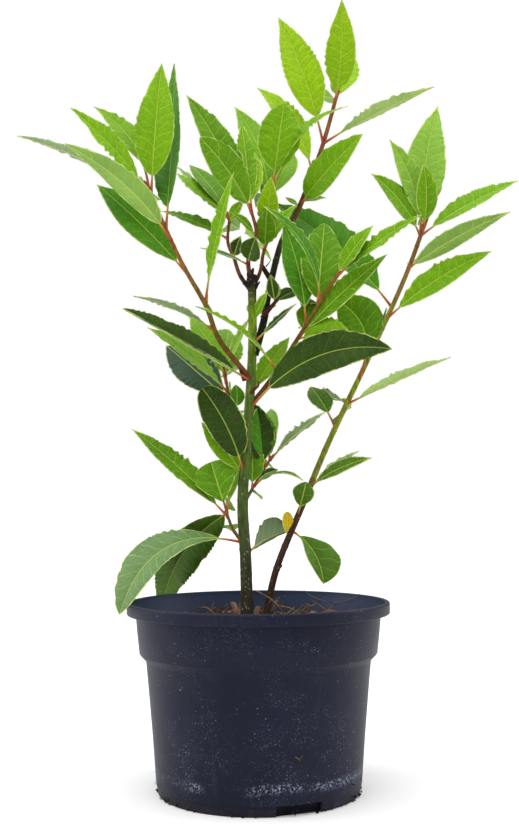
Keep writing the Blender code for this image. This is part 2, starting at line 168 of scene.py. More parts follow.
def finishWith(material, colour, roughness, height=None, bump=0.3, depth=0.2 * mm, **fixed):
    # Wires go to the shader's own sockets; fixed values are set there.
    graph = Wire(material.node_tree)
    sockets = material.node_tree.nodes["Principled BSDF"].inputs
    graph.plug(colour if isinstance(colour, Wire) else (*colour, 1.0), sockets["Base Color"])
    graph.plug(roughness, sockets["Roughness"])
    for name, value in fixed.items():
        sockets[name.replace("_", " ")].default_value = value
    if height is not None:
        settings = {"Strength": bump, "Distance": depth, "Height": height}
        graph.plug(graph.shader("Bump", {}, settings), sockets["Normal"])
    return material


def show(thing):
    scene.collection.objects.link(thing)
    return thing


def makePiece(name, verts=(), faces=(), finish=None):
    mesh = bpy.data.meshes.new(name)
    mesh.from_pydata(verts, [], faces)
    if finish:
        mesh.materials.append(finish)
    return show(bpy.data.objects.new(name, mesh))


def settle(piece):
    # The evaluated shape becomes the piece's own plain mesh, and its modifiers go.
    name = piece.name
    graph = bpy.context.evaluated_depsgraph_get()
    mesh = bpy.data.meshes.new_from_object(piece.evaluated_get(graph))
    mesh.name = name
    if piece.type == "MESH":
        piece.modifiers.clear()
        piece.data = mesh
        return piece
    made = show(bpy.data.objects.new(name + "Mesh", mesh))
    bpy.data.objects.remove(piece)
    made.name = name
    return made


def newTree(name, **values):
    # A geometry tree with named inputs; a string is a kind of data, a number a start value.
    tree = bpy.data.node_groups.new(name, "GeometryNodeTree")
    kinds = {int: "Int", float: "Float"}
    for label, value in {"Geometry": "Geometry", **values}.items():
        kind = kinds.get(type(value), value)
        socket = tree.interface.new_socket(label.replace("_", " "), in_out="INPUT",
                                           socket_type=f"NodeSocket{kind}")
        if kind != value:
            socket.default_value = value
    tree.interface.new_socket("Geometry", in_out="OUTPUT", socket_type="NodeSocketGeometry")
    graph = Wire(tree)
    return tree, graph, graph.node("NodeGroupInput").out


def endTree(graph, shape, finish):
    painted = graph.geometry("SetMaterial", Geometry=shape, Material=finish)
    graph.plug(painted, graph.tree.nodes.new("NodeGroupOutput").inputs["Geometry"])


def addTree(piece, tree, **values):
    # Puts a geometry tree on a piece with its inputs set by identifier.
    modifier = piece.modifiers.new(tree.name, "NODES")
    modifier.node_group = tree
    for item in tree.interface.items_tree:
        if item.in_out == "INPUT" and item.name.replace(" ", "_") in values:
            modifier[item.identifier] = values[item.name.replace(" ", "_")]


def keep(piece, slot, *nodes):
    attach(piece, "root")
    if nodes:
        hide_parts(*nodes)


def stem(*route, thick, bare=0.0, finish="youngBark"):
    return {"route": route, "thick": thick, "bare": bare, "finish": finish}


# Routes in millimetres (right, back, up) from foot to bud, thickness at both ends.
stems = {
    "main": stem((-8, 0, 118), (-9, 0, 165), (-11, 1, 208), (-7, 2, 262), (-3.4, 2, 318), (-3.4, 0, 374),
        thick=(9.0, 5.9), bare=1.0, finish="mainBark"),
    "second": stem((4.5, -2, 118), (13.5, 3, 158), (34, 13, 206), (53, 23, 250), (84, 37, 313),
        (115, 46, 379), (134, 48, 429), thick=(5.1, 3.3), bare=0.33, finish="secondBark"),
    "leader": stem((-1.5, 2, 315), (5.5, 8, 342), (9, 13, 363), (19, 23, 403), (34, 30, 434),
        (51, 38, 480), (64, 41, 525), thick=(5.8, 2.9), bare=0.42, finish="leaderBark"),
    "left": stem((-5, 0, 297), (-27, -10, 324), (-37, -18, 349), (-55, -27, 381), (-78, -35, 432),
        thick=(4.1, 2.6), bare=0.21, finish="boughBark"),
    "right": stem((-6, 3, 276), (9, 3, 295), (26, 0, 320), (46, -12, 351), (58, -22, 369),
        thick=(3.9, 2.5), bare=0.2, finish="boughBark"),
    "stub_left": stem((-5, 0, 363), (-12.5, 5, 375), (-17, 9, 389), (-21.5, 14, 402), (-20, 20, 424),
        thick=(3.4, 1.8)),
    "stub_mid": stem((-4, 0, 370), (-6, -4, 384), (0, -9, 402), (-4, -14, 420), thick=(3.6, 2.2)),
    "stub_right": stem((-3, 0, 364), (1.6, 3, 374), (3.8, 5, 382), (4.6, 7, 389), (6.8, 9, 399),
        (10, 10, 425), (12, 10, 439), thick=(3.0, 1.8)),
    "spur": stem((4, 8, 343), (11, 4, 351), (14, 0, 354), thick=(3.8, 2.6)),
    "left_mid": stem((-6, 2, 262), (-20, 14, 284), (-25, 26, 307), thick=(2.8, 1.6)),
    "lower_left": stem((-10, 0, 175), (-19, -4, 189), (-24, -8, 205), thick=(2.8, 1.6)),
    "lower_right": stem((-11, 1, 204), (0, 13, 223), (10, 19, 239), thick=(2.6, 1.6)),
}
flares = {"main": 2.0, "second": 0.9}       # millimetres added at the foot
flareFade = 6 * mm
head = {"swell": 1.1, "below": 5.0, "spread": 5.0}      # the pruned end of the main stem


def leaf(share, heading, lean, length, kind, turn, tint, **own):
    return share, heading, lean, length, kind, turn, tint, own


# Share of the stem, heading and lean in degrees, length in millimetres, kind, turn of the
# upper face from the front towards the sky, tint, and what is the leaf's own.
leaves = {
    "main": (
        leaf(0.19, 62, 40, 54, "round", 122, "dull", bow=0.06, petiole=0.3, fold=2, sway=-0.07),
        leaf(0.23, -119, -15, 104, "arched", 50, "dull", wide=0.9, bow=0.04, peak=1.25, full=0.7,
             sway=0.135, early=-0.02, shade=0.9),
        leaf(0.42, -25, -15, 72, "broad", 10, "dark", sway=0.05, wide=0.88, full=0.4, peak=1.1,
             petiole=0.22, shade=1),
        leaf(0.42, -38, 0, 50, "broad", 20, "bright", wide=0.78),
        leaf(0.61, 69, -25, 118, "swept", 15, "dark", full=0.75, wide=0.9, early=-0.05, petiole=0.17),
        leaf(0.65, 32, 35, 70, "oval", 20, "bright", wide=0.7),
        leaf(0.695, -63.5, -35, 118, "oval", 62, "dark", wide=0.6, fold=2.4, sway=-0.095, full=0.6,
             petiole=0.18),
        leaf(0.8, 50, -25, 46, "oval", 40, "slate", wide=0.42, sway=0.02, petiole=0.25),
        leaf(0.86, 26, -15, 26, "oval", 30, "bright"),
        leaf(0.89, -150, 40, 52, "oval", 25, "pale", wide=0.4),
    ),
    "second": (
        leaf(0.19, -2, 10, 20, "round", 10, "yellow", wide=0.72, peak=1.3, full=0.5),
        leaf(0.21, 150, -25, 48, "round", 45, "deep", wide=1.1, fold=2.4, sway=-0.1, peak=1.35, shade=0.7),
        leaf(0.24, 14, -15, 28, "round", 0, "deep", peak=1.35, petiole=0.3),
        leaf(0.315, 65, -25, 53, "broad", 50, "deep", bow=0.02, wide=0.6),
        leaf(0.31, 54, 30, 56, "oval", 125, "dull", wide=0.5),
        leaf(0.46, -26, 45, 54, "broad", 20, "deep", wide=0.78, petiole=0.3),
        leaf(0.52, 67, -25, 88, "oval", 104, "pale", bow=-0.03, sway=-0.005, wide=0.85),
        leaf(0.53, -86, 40, 12, "broad", 80, "pale"),
        leaf(0.58, -16, -15, 64, "round", 0, "mature", sway=0.22, early=-0.08, petiole=0.34, peak=1,
             wide=0.95, shade=0.8),
        leaf(0.74, 58, -10, 94, "oval", 30, "bright", sway=-0.03, wide=0.74, shade=0.7),
        leaf(0.77, -47, 5, 126, "oval", 40, "lush", sway=0.035, wide=1.1, shade=0.2),
        leaf(0.87, 64, -25, 88, "oval", 150, "mature", petiole=0.06, sway=0.02, wide=0.56, peak=0.75),
        leaf(0.95, 60, 5, 91, "oval", 45, "bright", bow=-0.01, sway=-0.02, wide=0.72),
        leaf(0.95, -44, -25, 64, "oval", 30, "mature", sway=0.05, wide=1.05, shade=0.2),
        leaf(0.95, 10, 15, 119, "lance", 0, "pale", sway=-0.035, wide=1.12, peak=0.72),
        leaf(0.96, -21, -12, 75, "lance", 20, "pale", sway=0.06, wide=1.15, shade=0.8),
        leaf(0.97, -3, -28, 50, "oval", 0, "bright", sway=0.04, peak=0.8, full=0.8, shade=1),
    ),
    "leader": (
        leaf(0.56, -52, 15, 14, "oval", 25, "pale"),
        leaf(0.57, 46, -30, 72, "oval", 30, "bright", wide=1.2, peak=0.72, petiole=0.1, full=0.75,
             shade=0.7),
        leaf(0.58, 74, 25, 22, "oval", 45, "dull", wide=1.3),
        leaf(0.69, -28, 20, 96, "oval", 10, "young", sway=0.075, wide=0.6),
        leaf(0.81, 68, -20, 94, "oval", 104, "pale", bow=-0.01, wide=0.6, petiole=0.16),
        leaf(0.81, -18, 5, 110, "oval", 0, "young", sway=0.025, wide=0.8, petiole=0.19, peak=0.75,
             shade=0.3),
        leaf(0.96, 3, -30, 77, "oval", 10, "young", sway=0.035, peak=0.75, wide=0.93, shade=0.7),
        leaf(0.97, 24, 30, 54, "oval", 10, "young"),
        leaf(0.99, -32, -10, 10, "oval", 0, "mature"),
    ),
    "left": (
        leaf(0.28, -72, -40, 74, "oval", 98, "dull", wide=0.65),
        leaf(0.41, 14, -20, 96, "lance", 50, "bright", wide=0.64, petiole=0.18, sway=0.02),
        leaf(0.56, -44, 10, 100, "oval", 25, "lush", wide=0.85, shade=0.1),
        leaf(0.74, -51, -30, 100, "oval", 140, "mature", sway=-0.055, wide=0.64, peak=0.72, full=0.85),
        leaf(0.79, 2, 10, 131, "oval", 55, "lush", bow=-0.05, wide=0.84, peak=0.72),
        leaf(0.85, -60, 0, 118, "oval", 102, "dull", bow=0.04, wide=0.5),
        leaf(0.95, -46, -35, 84, "oval", 50, "bright", wide=0.85, petiole=0.2),
        leaf(0.95, 4, 5, 100, "oval", 5, "bright", wide=0.86, peak=0.7, petiole=0.14, shade=0.1),
        leaf(0.97, -31, 25, 98, "oval", 30, "bright", sway=0.09, wide=0.6, petiole=0.28, peak=0.75),
    ),
    "right": (
        leaf(0.29, -54, -30, 82, "oval", 72, "bright", bow=0.04, wide=0.5),
        leaf(0.53, 48, -15, 89, "oval", 30, "mature", wide=0.65),
        leaf(0.53, 88, -30, 42, "round", 30, "bright", wide=1.1),
        leaf(0.57, 20, 40, 40, "broad", 20, "mature", wide=0.85),
        leaf(0.63, -12, 0, 78, "oval", 20, "lush", sway=0.03, wide=0.95, petiole=0.17, shade=0.6),
        leaf(0.76, 6, 15, 69, "broad", 0, "mature", full=0.7, peak=0.9, petiole=0.1, shade=1),
        leaf(0.8, -34, -28, 84, "oval", 55, "lush", bow=0.08, sway=0.045, wide=0.6, shade=0.9),
        leaf(0.98, 37, -20, 46, "oval", 50, "bright", wide=1.25),
        leaf(0.99, 57, -25, 76, "oval", 50, "bright", wide=0.6),
    ),
    "stub_left": (
        leaf(0.44, 22, -45, 20, "broad", 20, "dark", wide=1.2),
        leaf(0.7, -62, 25, 66, "oval", 50, "mature", wide=0.8, shade=0.8),
        leaf(0.9, 36, -25, 20, "round", 20, "bright", wide=0.8),
        leaf(0.94, -44, 25, 66, "oval", 50, "bright", sway=-0.04),
        leaf(0.97, -32, 35, 76, "oval", 45, "mature"),
        leaf(0.98, -40, 35, 84, "oval", 120, "dull", wide=0.5, sway=0.06),
    ),
    "stub_mid": (
        leaf(0.22, -74, -20, 38, "oval", 110, "slate", wide=0.45),
        leaf(0.25, 24, -60, 29, "round", 10, "dark"),
        leaf(0.63, -56, -45, 30, "oval", 40, "mature", shade=0.6),
        leaf(0.93, -38, -30, 68, "broad", 15, "mature", sway=0.03, wide=0.85, full=0.65, peak=1, shade=0.6),
        leaf(0.94, -6, 15, 78, "lance", 10, "bright", wide=0.8),
        leaf(0.96, -28, 5, 102, "oval", 25, "mature", sway=0.01, wide=0.72, shade=0.9),
        leaf(0.97, -2, 20, 60, "lance", 10, "young", wide=1.3),
    ),
    "stub_right": (
        leaf(0.43, 4, -45, 36, "broad", 0, "mature"),
        leaf(0.45, 42, -35, 42, "oval", 50, "bright", wide=1.35, peak=0.7),
        leaf(0.61, 6, -60, 56, "broad", 10, "young", wide=0.66, shade=0.2),
        leaf(0.65, -6, 35, 72, "oval", 55, "mature"),
        leaf(0.85, -16, 30, 115, "lance", 20, "bright", sway=0.045, wide=0.95),
        leaf(0.91, 21, 40, 68, "oval", 20, "bright", wide=1),
        leaf(0.95, 40, 0, 90, "oval", 60, "bright", bow=0.12, wide=0.6),
        leaf(0.97, 8, -5, 68, "broad", 0, "bright", full=0.6, peak=0.95, petiole=0.26, wide=1.05),
    ),
    "spur": (
        leaf(0.93, -10, -30, 22, "broad", 0, "dark"),
        leaf(0.93, 58, 30, 26, "broad", 40, "dark", wide=1.25),
        leaf(0.96, 10, 20, 16, "oval", 0, "mature"),
    ),
    "left_mid": (
        leaf(0.32, -2, 20, 20, "round", 20, "lush"),
        leaf(0.42, -47, 35, 90, "broad", 10, "slate", sway=-0.01, wide=0.74),
        leaf(0.61, -52, -25, 80, "oval", 60, "pale", wide=0.8, shade=0.9),
        leaf(0.77, -28, 40, 86, "oval", 20, "bright", sway=0.03, wide=0.8),
        leaf(0.79, 0, 55, 86, "broad", 20, "bright", sway=-0.03, wide=0.7),
    ),
    "lower_left": (
        leaf(0.8, -144, 50, 152, "arched", -15, "deep", bow=-0.18, sway=0.065, early=0.05, peak=0.85,
             full=0.7, petiole=0.03, wide=0.58),
        leaf(0.71, -48, 20, 106, "oval", 42, "mature", bow=-0.03, sway=0.02, wide=0.56, shade=0.5),
        # This leaf's high shade value darkens it as painted shade from the leaves above it.
        leaf(0.8, -18, 20, 42, "round", 0, "mature", wide=1.3, full=0.6, peak=1.5, petiole=0.2, shade=0.8),
        leaf(0.84, 16, 40, 74, "oval", 30, "bright", wide=0.5),
    ),
    "lower_right": (
        leaf(0.33, 130, -45, 14, "round", 90, "bright"),
        leaf(0.36, 0, 20, 40, "broad", 10, "mature"),
        leaf(0.43, 84, -40, 46, "arched", 90, "deep", wide=0.75),
        leaf(0.56, 64, -35, 20, "broad", 40, "dark"),
        leaf(0.72, -8, 10, 55, "broad", 20, "dark"),
        leaf(0.81, -6, 10, 48, "broad", 20, "lush"),
        leaf(0.96, 2, 50, 66, "oval", 35, "pale"),
        leaf(0.97, 50, -30, 60, "oval", 120, "dull", wide=0.6),
    ),
}

# Far-side leaves: one to each pitch of shoot, by the golden angle.
far = {
    "seed": 7, "pitch": 17.0, "length": (44, 70), "lean": (62, 82), "goldenAngle": 137.5, "stray": 15,
    "fan": 0.5, "first": 0.7, "reach": 1.6 * mm, "tints": ("mature", "bright", "mature", "dark"),
    "gaps": {"second": (0, 1, 4, 5, 8, 9, 11), "leader": (1, 3, 4, 5), "left": (2, 3, 4, 5),
             "right": (1,), "stub_left": (0,), "stub_mid": (0,), "stub_right": (0,)},
}


def smoothLine(points, steps=12):
    points = [Vector(p) * mm for p in points]
    points = [2 * points[0] - points[1]] + points + [2 * points[-1] - points[-2]]
    line = []
    for a, b, c, d in zip(points, points[1:], points[2:], points[3:]):
        for step in range(steps):
            u = step / steps
            line.append(0.5 * (2 * b + (c - a) * u + (2 * a - 5 * b + 4 * c - d) * u * u
                               + (3 * b - a - 3 * c + d) * u ** 3))
    line.append(points[-2])
    return line


def lineLength(line):
    return sum((b - a).length for a, b in zip(line, line[1:]))


def lineAt(line, share):
    rest = share * lineLength(line)
    for a, b in zip(line, line[1:]):
        length = (b - a).length
        if rest <= length:
            return a.lerp(b, rest / length), (b - a).normalized()
        rest -= length
    return line[-1].copy(), (line[-1] - line[-2]).normalized()


lines = {key: smoothLine(look["route"]) for key, look in stems.items()}


def stemRadius(key, share, length):
    foot, bud = stems[key]["thick"]
    radius = 0.5 * (foot + (bud - foot) * share)
    radius += flares.get(key, 0.0) * exp(-share * length / flareFade)
    if key == "main":
        radius += head["swell"] * exp(-(((1 - share) * length / mm - head["below"]) / head["spread"]) ** 2)
    return radius * mm


def farRows(key):
    random = Random(f"{key} {far['seed']}")
    bare = stems[key]["bare"]
    count = int((1 - bare) * lineLength(lines[key]) / mm / far["pitch"])
    rows = []
    for k in range(count):
        share = bare + (1 - bare) * (k + far["first"]) / count
        around = (far["goldenAngle"] * k + random.uniform(-far["stray"], far["stray"])) % 360 - 180
        lean = random.uniform(*far["lean"])
        length = random.uniform(*far["length"])
        if k not in far["gaps"].get(key, ()):
            rows.append(leaf(share, far["fan"] * around, lean, length, "oval", 90, far["tints"][k % 4]))
    return rows


blade = {
    "step": 1.15 * mm, "stations": (0.0, 0.05, 0.28, 0.52, 0.76, 0.92, 1.0), "fewest": 14,
    "thick": 0.42 * mm, "rib": 0.30 * mm, "groove": 0.12 * mm, "point": 0.35 * mm, "plain": 55 * mm,
    "fold": 0.20, "belly": 0.12, "twist": 7, "hinge": 0.3, "curl": (0.6, 1.4),
    "wave": 11 * mm, "ripple": 0.85 * mm, "lobe": 0.5 * mm, "drift": 16 * mm,
    "crisp": 4.8 * mm, "tooth": 0.28 * mm, "mostFlare": 0.4,
}
# Width and bow as shares of the length, side sway, and how full the outline is.
kinds = {
    "lance": (0.24, 0.04, 0.0, 1.0), "oval": (0.33, 0.04, 0.0, 0.95), "broad": (0.44, 0.05, 0.0, 0.85),
    "round": (0.58, 0.06, 0.0, 0.75), "arched": (0.36, 0.16, 0.0, 0.9), "swept": (0.29, 0.04, -0.13, 0.85),
}
# Upper face at its lightest, upper face at its deepest, under face; noise and the leaf's shade value mix the
# first two. The blue-grey cast of dull and slate is painted sheen over a grey-green and a dark blue-green
# leaf.
tints = {
    "young": ((0.3, 0.51, 0.003), (0.18, 0.36, 0.002), (0.37, 0.56, 0.06)),
    "bright": ((0.2, 0.41, 0.003), (0.11, 0.272, 0.002), (0.3, 0.49, 0.07)),
    "mature": ((0.143, 0.33, 0.003), (0.066, 0.182, 0.002), (0.23, 0.4, 0.065)),
    "lush": ((0.082, 0.265, 0.006), (0.038, 0.16, 0.004), (0.21, 0.38, 0.08)),
    "deep": ((0.088, 0.196, 0.008), (0.044, 0.112, 0.005), (0.2, 0.34, 0.08)),
    "dark": ((0.044, 0.096, 0.006), (0.016, 0.036, 0.003), (0.12, 0.2, 0.06)),
    # pale is partly the leaf's own light green, partly painted sheen and light shining through the leaf.
    "pale": ((0.27, 0.49, 0.05), (0.17, 0.35, 0.032), (0.345, 0.5, 0.14)),
    "dull": ((0.165, 0.275, 0.095), (0.09, 0.175, 0.048), (0.235, 0.335, 0.16)),
    "slate": ((0.03, 0.075, 0.034), (0.01, 0.034, 0.012), (0.12, 0.2, 0.1)),
    "yellow": ((0.6, 0.43, 0.004), (0.5, 0.31, 0.004), (0.62, 0.46, 0.03)),
}


def faceNormal(chord, turn):
    along = chord.normalized()
    front = Vector((0, -1, 0))
    front = (front - along * front.dot(along)).normalized()
    sky = along.cross(front)
    if sky.z < 0:
        sky.negate()
    return front * cos(radians(turn)) + sky * sin(radians(turn))


def leafFrame(key, row):
    share, heading, lean, length, kind, turn, tint, own = row
    width, bow, sway, full = kinds[kind]
    level = cos(radians(lean))
    chord = Vector((sin(radians(heading)) * level, sin(radians(lean)), cos(radians(heading)) * level))
    reach = chord * length * mm
    joint = lineAt(lines[key], share)[0]
    normal = faceNormal(reach, turn)
    side = reach.normalized().cross(normal)
    bow += own.get("bow", 0.0)
    sway += own.get("sway", 0.0)
    middle = joint + reach * (0.5 - own.get("early", 0.0))
    middle += normal * (2 * bow * reach.length) + side * (2 * sway * reach.length)
    made = {"full": full, "peak": 0.85, "petiole": 0.13, "fold": 1.0, "shade": None, **own}
    return {**made, "joint": joint, "middle": middle, "tip": joint + reach, "normal": normal,
            "tint": tint, "length": reach.length, "width": width * own.get("wide", 1.0)}


def along(leaf, share):
    point = leaf["joint"].lerp(leaf["middle"], share).lerp(leaf["middle"].lerp(leaf["tip"], share), share)
    ahead = (leaf["middle"] - leaf["joint"]).lerp(leaf["tip"] - leaf["middle"], share).normalized()
    out = ahead.cross(leaf["normal"]).normalized()
    return point, ahead, out, out.cross(ahead)


def crimp(run, wave, seed):
    # Uneven waves along one margin.
    drift = noise.noise(Vector((run / (2.3 * wave), seed, 0.0)))
    swell = 0.60 + 1.6 * noise.noise(Vector((run / (1.8 * wave), seed, 9.0)))
    return sin(tau * (run / wave + 2.4 * drift)) * min(1.1, max(0.10, swell))


def growBlade(book, leaf, random):
    # One leaf's upper and under face, stitched at the margin, with its own ripples.
    length = leaf["length"]
    rows = max(blade["fewest"], round(length / blade["step"]))
    stations = [-s for s in blade["stations"][:0:-1]] + list(blade["stations"])
    seeds = [random.uniform(0, 60) for _ in range(4)]
    shade = random.random() if leaf["shade"] is None else leaf["shade"]
    twist = radians(random.uniform(-blade["twist"], blade["twist"]))
    curl = random.uniform(*blade["curl"])
    small = min(1.0, length / blade["plain"])
    first = len(book["verts"])
    tops, lows = [], []
    for i in range(rows + 1):
        share = i / rows
        run = share * length
        point, ahead, out, up = along(leaf, leaf["petiole"] + (1 - leaf["petiole"]) * share)
        turn = Matrix.Rotation(twist * (share - blade["hinge"]), 3, ahead)
        out, up = turn @ out, turn @ up
        # Wedge at the foot, drawn out at the tip.
        outline = sin(pi * share ** leaf["peak"]) ** leaf["full"]
        half = max(0.5 * leaf["width"] * length * outline, blade["point"])
        edge = sin(pi * min(1.0, share * 1.02)) ** 0.6 * small
        for across in stations:
            part = abs(across)
            flank = 0 if across < 0 else 2
            wavy = crimp(run, blade["wave"], seeds[flank])
            tooth = blade["tooth"] * crimp(run, blade["crisp"], seeds[flank + 1])
            flare = part ** 3 * edge * (blade["lobe"] * wavy + tooth * part ** 4)
            reach = half * across + (across / max(part, 0.01)) * min(flare, blade["mostFlare"] * half)
            rise = half * leaf["fold"] * (blade["fold"] * part + blade["belly"] * part * (1 - part) * 2)
            rise += edge * curl * part ** 3.5 * (blade["ripple"] * wavy + tooth)
            drift = noise.noise(Vector((run / blade["drift"], across, seeds[0])))
            rise += 0.6 * blade["ripple"] * part * drift
            thick = blade["thick"] * (1 - 0.5 * part)
            if not part:
                thick += blade["rib"] * (1.2 - share)
                rise -= blade["groove"]
            spot = point + out * reach + up * rise
            tops.append(spot)
            lows.append(spot - up * thick)
            book["blades"] += (run / mm, across * half / mm, half / mm)
    count = len(tops)
    book["verts"] += tops + lows
    book["blades"] += book["blades"][-3 * count:]
    book["shades"] += [shade] * (2 * count)
    wide = len(stations)
    for i in range(rows):
        for j in range(wide - 1):
            a = first + i * wide + j
            quad = (a, a + 1, a + wide + 1, a + wide)
            book["faces"] += [quad, tuple(v + count for v in quad[::-1])]
            book["sides"] += [0, 1]
    rim = [first + i * wide for i in range(rows + 1)]
    rim += [first + rows * wide + j for j in range(1, wide)]
    rim += [first + i * wide + wide - 1 for i in range(rows - 1, -1, -1)]
    rim += [first + j for j in range(wide - 2, 0, -1)]
    book["faces"] += [(a + count, b + count, b, a) for a, b in zip(rim, rim[1:] + rim[:1])]
    book["sides"] += [0] * len(rim)


def scaled(tone, part, more=0.0):
    return tuple(min(1.0, part * c + more) for c in tone)


def leafFinish(tint, under):
    upper, deep, below = tints[tint]
    material, graph, place = newFinish(f"{tint}Leaf{'Under' if under else 'Upper'}")
    spot = attribute(graph, "blade").out("Vector")
    run, off, half = spot.axis("X"), spot.axis("Y"), spot.axis("Z")      # millimetres
    fromRib = abs(off)
    fromEdge = half - fromRib
    veinPitch = 8.8
    rib = 1.0 - (fromRib / (0.70 - run * 0.0036)).between(0.50, 1.0)
    bent = fromRib * 0.95 - fromRib * fromRib / half * 0.25
    slant = (run - bent) / veinPitch + off.math("SIGN", off) * 0.22 + place.noise(48.0) * 1.9
    gap = abs(slant % 1.0 - 0.5) * veinPitch
    swell = gap.between(0.2, 2.6)                         # the blade bulges between its veins
    patch = place.noise(34.0, 4.0)
    mottle = place.noise(170.0)
    vein = (1.0 - gap.between(0.06, 0.34)) * fromEdge.between(0.6, 2.4) * mottle.between(0.18, 0.52)
    # The pale line along the margin is partly the leaf's own pale rim, partly a painted edge highlight.
    margin = (1.0 - fromEdge.between(0.48, 1.00)) * place.noise(110.0, 2.0).between(0.30, 0.66)
    if under:
        colour = patch.between(0.3, 0.7).mix(below, scaled(below, 0.8))
        layers = ((vein * 0.8, scaled(below, 1.4, 0.04)), (margin * 0.8, (0.62, 0.74, 0.26)),
                  (rib, (0.48, 0.58, 0.14)))
        height = vein * 0.7 + rib * 1.4 - swell * 0.2
        rough, depth, gloss = 0.60 - patch * 0.1, 0.45 * mm, 0.15
    else:
        net = place.cells(560.0, "DISTANCE_TO_EDGE").between(0.02, 0.13)
        grain = place.noise(620.0, 3.0, 0.7).between(0.30, 0.70)
        shade = attribute(graph, "shade").out("Fac")
        fresh = 0.55 * patch.between(0.25, 0.75) + 0.45 * shade + 0.60 * mottle - 0.30
        colour = fresh.mix(upper, deep)
        veined = 0.40 if tint in ("dark", "slate") else 0.85
        rimAndGlintTone = [0.25 * c + 0.75 * d for c, d in zip(upper, (0.62, 0.72, 0.20))]
        ribTone = [0.4 * c + 0.6 * d for c, d in zip(upper, (0.50, 0.62, 0.10))]
        layers = [(grain * 0.45, scaled(deep, 0.6)), ((1.0 - net) * 0.20, scaled(upper, 1.5, 0.01)),
                  (vein * veined, scaled(upper, 1.35, 0.045)), (margin * 0.95, rimAndGlintTone),
                  (rib * 0.9, ribTone)]
        if tint == "dark":
            rust = place.noise(95.0, 2.0).between(0.68, 0.74)
            dots = 1.0 - place.cells(130.0).between(0.05, 0.09)
            layers += [(rust * 0.6, (0.060, 0.030, 0.012)), (dots * 0.8, (0.006, 0.006, 0.004))]
        height = swell * 0.25 - vein * 0.35 - rib * 0.9 + patch * 0.6 + mottle * 0.25
        rough, depth = 0.42 + patch * 0.16, 0.5 * mm
        gloss = 0.20 if tint in ("dull", "slate") else 0.11
    for amount, tone in layers:
        colour = amount.mix(colour, tone)
    return finishWith(material, colour, rough, height, 0.5, depth, Specular_IOR_Level=gloss)


def buildLeafPiece(name, book, finishes):
    piece = makePiece(name, book["verts"], book["faces"])
    mesh = piece.data
    for finish in finishes:
        mesh.materials.append(finish)
    mesh.polygons.foreach_set("material_index", book["sides"])
    mesh.attributes.new("blade", "FLOAT_VECTOR", "POINT").data.foreach_set("vector", book["blades"])
    mesh.attributes.new("shade", "FLOAT", "POINT").data.foreach_set("value", book["shades"])
    mesh.shade_smooth()
    return piece


# One tree carries bark along every stem, twig and leaf stalk.
def barkTree():
    tree, graph, given = newTree("barkAlongRoute", Sides=16, Relief=0.1 * mm, Grain=250.0,
                                 Ring_Pitch=18 * mm, Ring_Height=0.25 * mm, Seed=0.0, Finish="Material")
    route = given("Geometry")
    for label, source in (("run", "Length"), ("share", "Factor")):
        way = graph.geometry("SplineParameter").out(source)
        route = graph.geometry("StoreNamedAttribute", {"data_type": "FLOAT", "domain": "POINT"},
                               Geometry=route, Name=label, Value=way)
    ring = graph.geometry("CurvePrimitiveCircle", Resolution=given("Sides"), Radius=1.0)
    tube = graph.geometry("CurveToMesh", Curve=route, Profile_Curve=ring, Fill_Caps=True,
                          Scale=graph.geometry("InputRadius"))
    run = graph.geometry("InputNamedAttribute", {"data_type": "FLOAT"}, Name="run")
    settings = {"Vector": graph.geometry("InputPosition"), "W": given("Seed"), "Scale": given("Grain"),
                "Detail": 3.0}
    rough = graph.shader("TexNoise", {"noise_dimensions": "4D"}, settings)
    scar = (run / given("Ring Pitch") + given("Seed")) % 1.0
    scar = 1.0 - (abs(scar - 0.5) / 0.06).between(0.0, 1.0)
    rise = (rough - 0.5) * given("Relief") * 2.0 + scar * given("Ring Height")
    offset = graph.shader("VectorMath", {"operation": "SCALE"},
                          {0: graph.geometry("InputNormal"), "Scale": rise})
    moved = graph.geometry("SetPosition", Geometry=tube, Offset=offset)
    smooth = graph.geometry("SetShadeSmooth", Geometry=moved, Shade_Smooth=True)
    endTree(graph, graph.geometry("RealizeInstances", Geometry=smooth), given("Finish"))
    return tree


bark = barkTree()


def barkPiece(name, routes, finish, sides, relief, ringHeight, seed):
    # One line for each route, a route being points with radii, wrapped in bark.
    curve = bpy.data.curves.new(name, "CURVE")
    curve.dimensions = "3D"
    for points in routes:
        spline = curve.splines.new("POLY")
        spline.points.add(len(points) - 1)
        for point, (place, radius) in zip(spline.points, points):
            point.co = (*place, 1.0)
            point.radius = radius
    piece = show(bpy.data.objects.new(name, curve))
    addTree(piece, bark, Sides=sides, Relief=relief * mm, Seed=seed, Finish=finish,
            Ring_Height=ringHeight * mm)
    return settle(piece)


def stemRoute(key, first, last, pointed, step=1.6 * mm):
    line = lines[key]
    length = lineLength(line)
    count = max(4, round((last - first) * length / step))
    shares = [first + (last - first) * k / count for k in range(count + 1)]
    route = [(lineAt(line, share)[0], stemRadius(key, share, length)) for share in shares]
    if pointed:
        end, ahead = lineAt(line, 1.0)
        for out, part in ((1.2, 1.15), (2.6, 0.85), (4.0, 0.3)):
            route.append((end + ahead * out * mm, stemRadius(key, 1.0, length) * part))
    return route


# The leaf stalk: radius, taper and swell at its foot in millimetres, and its reach into the blade.
stalk = {"steps": 8, "radius": 1.10, "taper": 0.45, "swell": 0.35, "fade": 1.2, "sink": 0.2, "into": 0.03,
         "plain": 60 * mm, "least": 0.25}


def petioleRoute(leaf):
    route = []
    small = min(1.0, leaf["length"] / stalk["plain"] + stalk["least"])
    for k in range(stalk["steps"] + 1):
        share = k / stalk["steps"]
        point, ahead, out, up = along(leaf, share * (leaf["petiole"] + stalk["into"]))
        radius = stalk["radius"] - stalk["taper"] * share + stalk["swell"] * exp(-k * stalk["fade"])
        route.append((point - up * stalk["sink"] * mm, radius * mm * small))
    return route


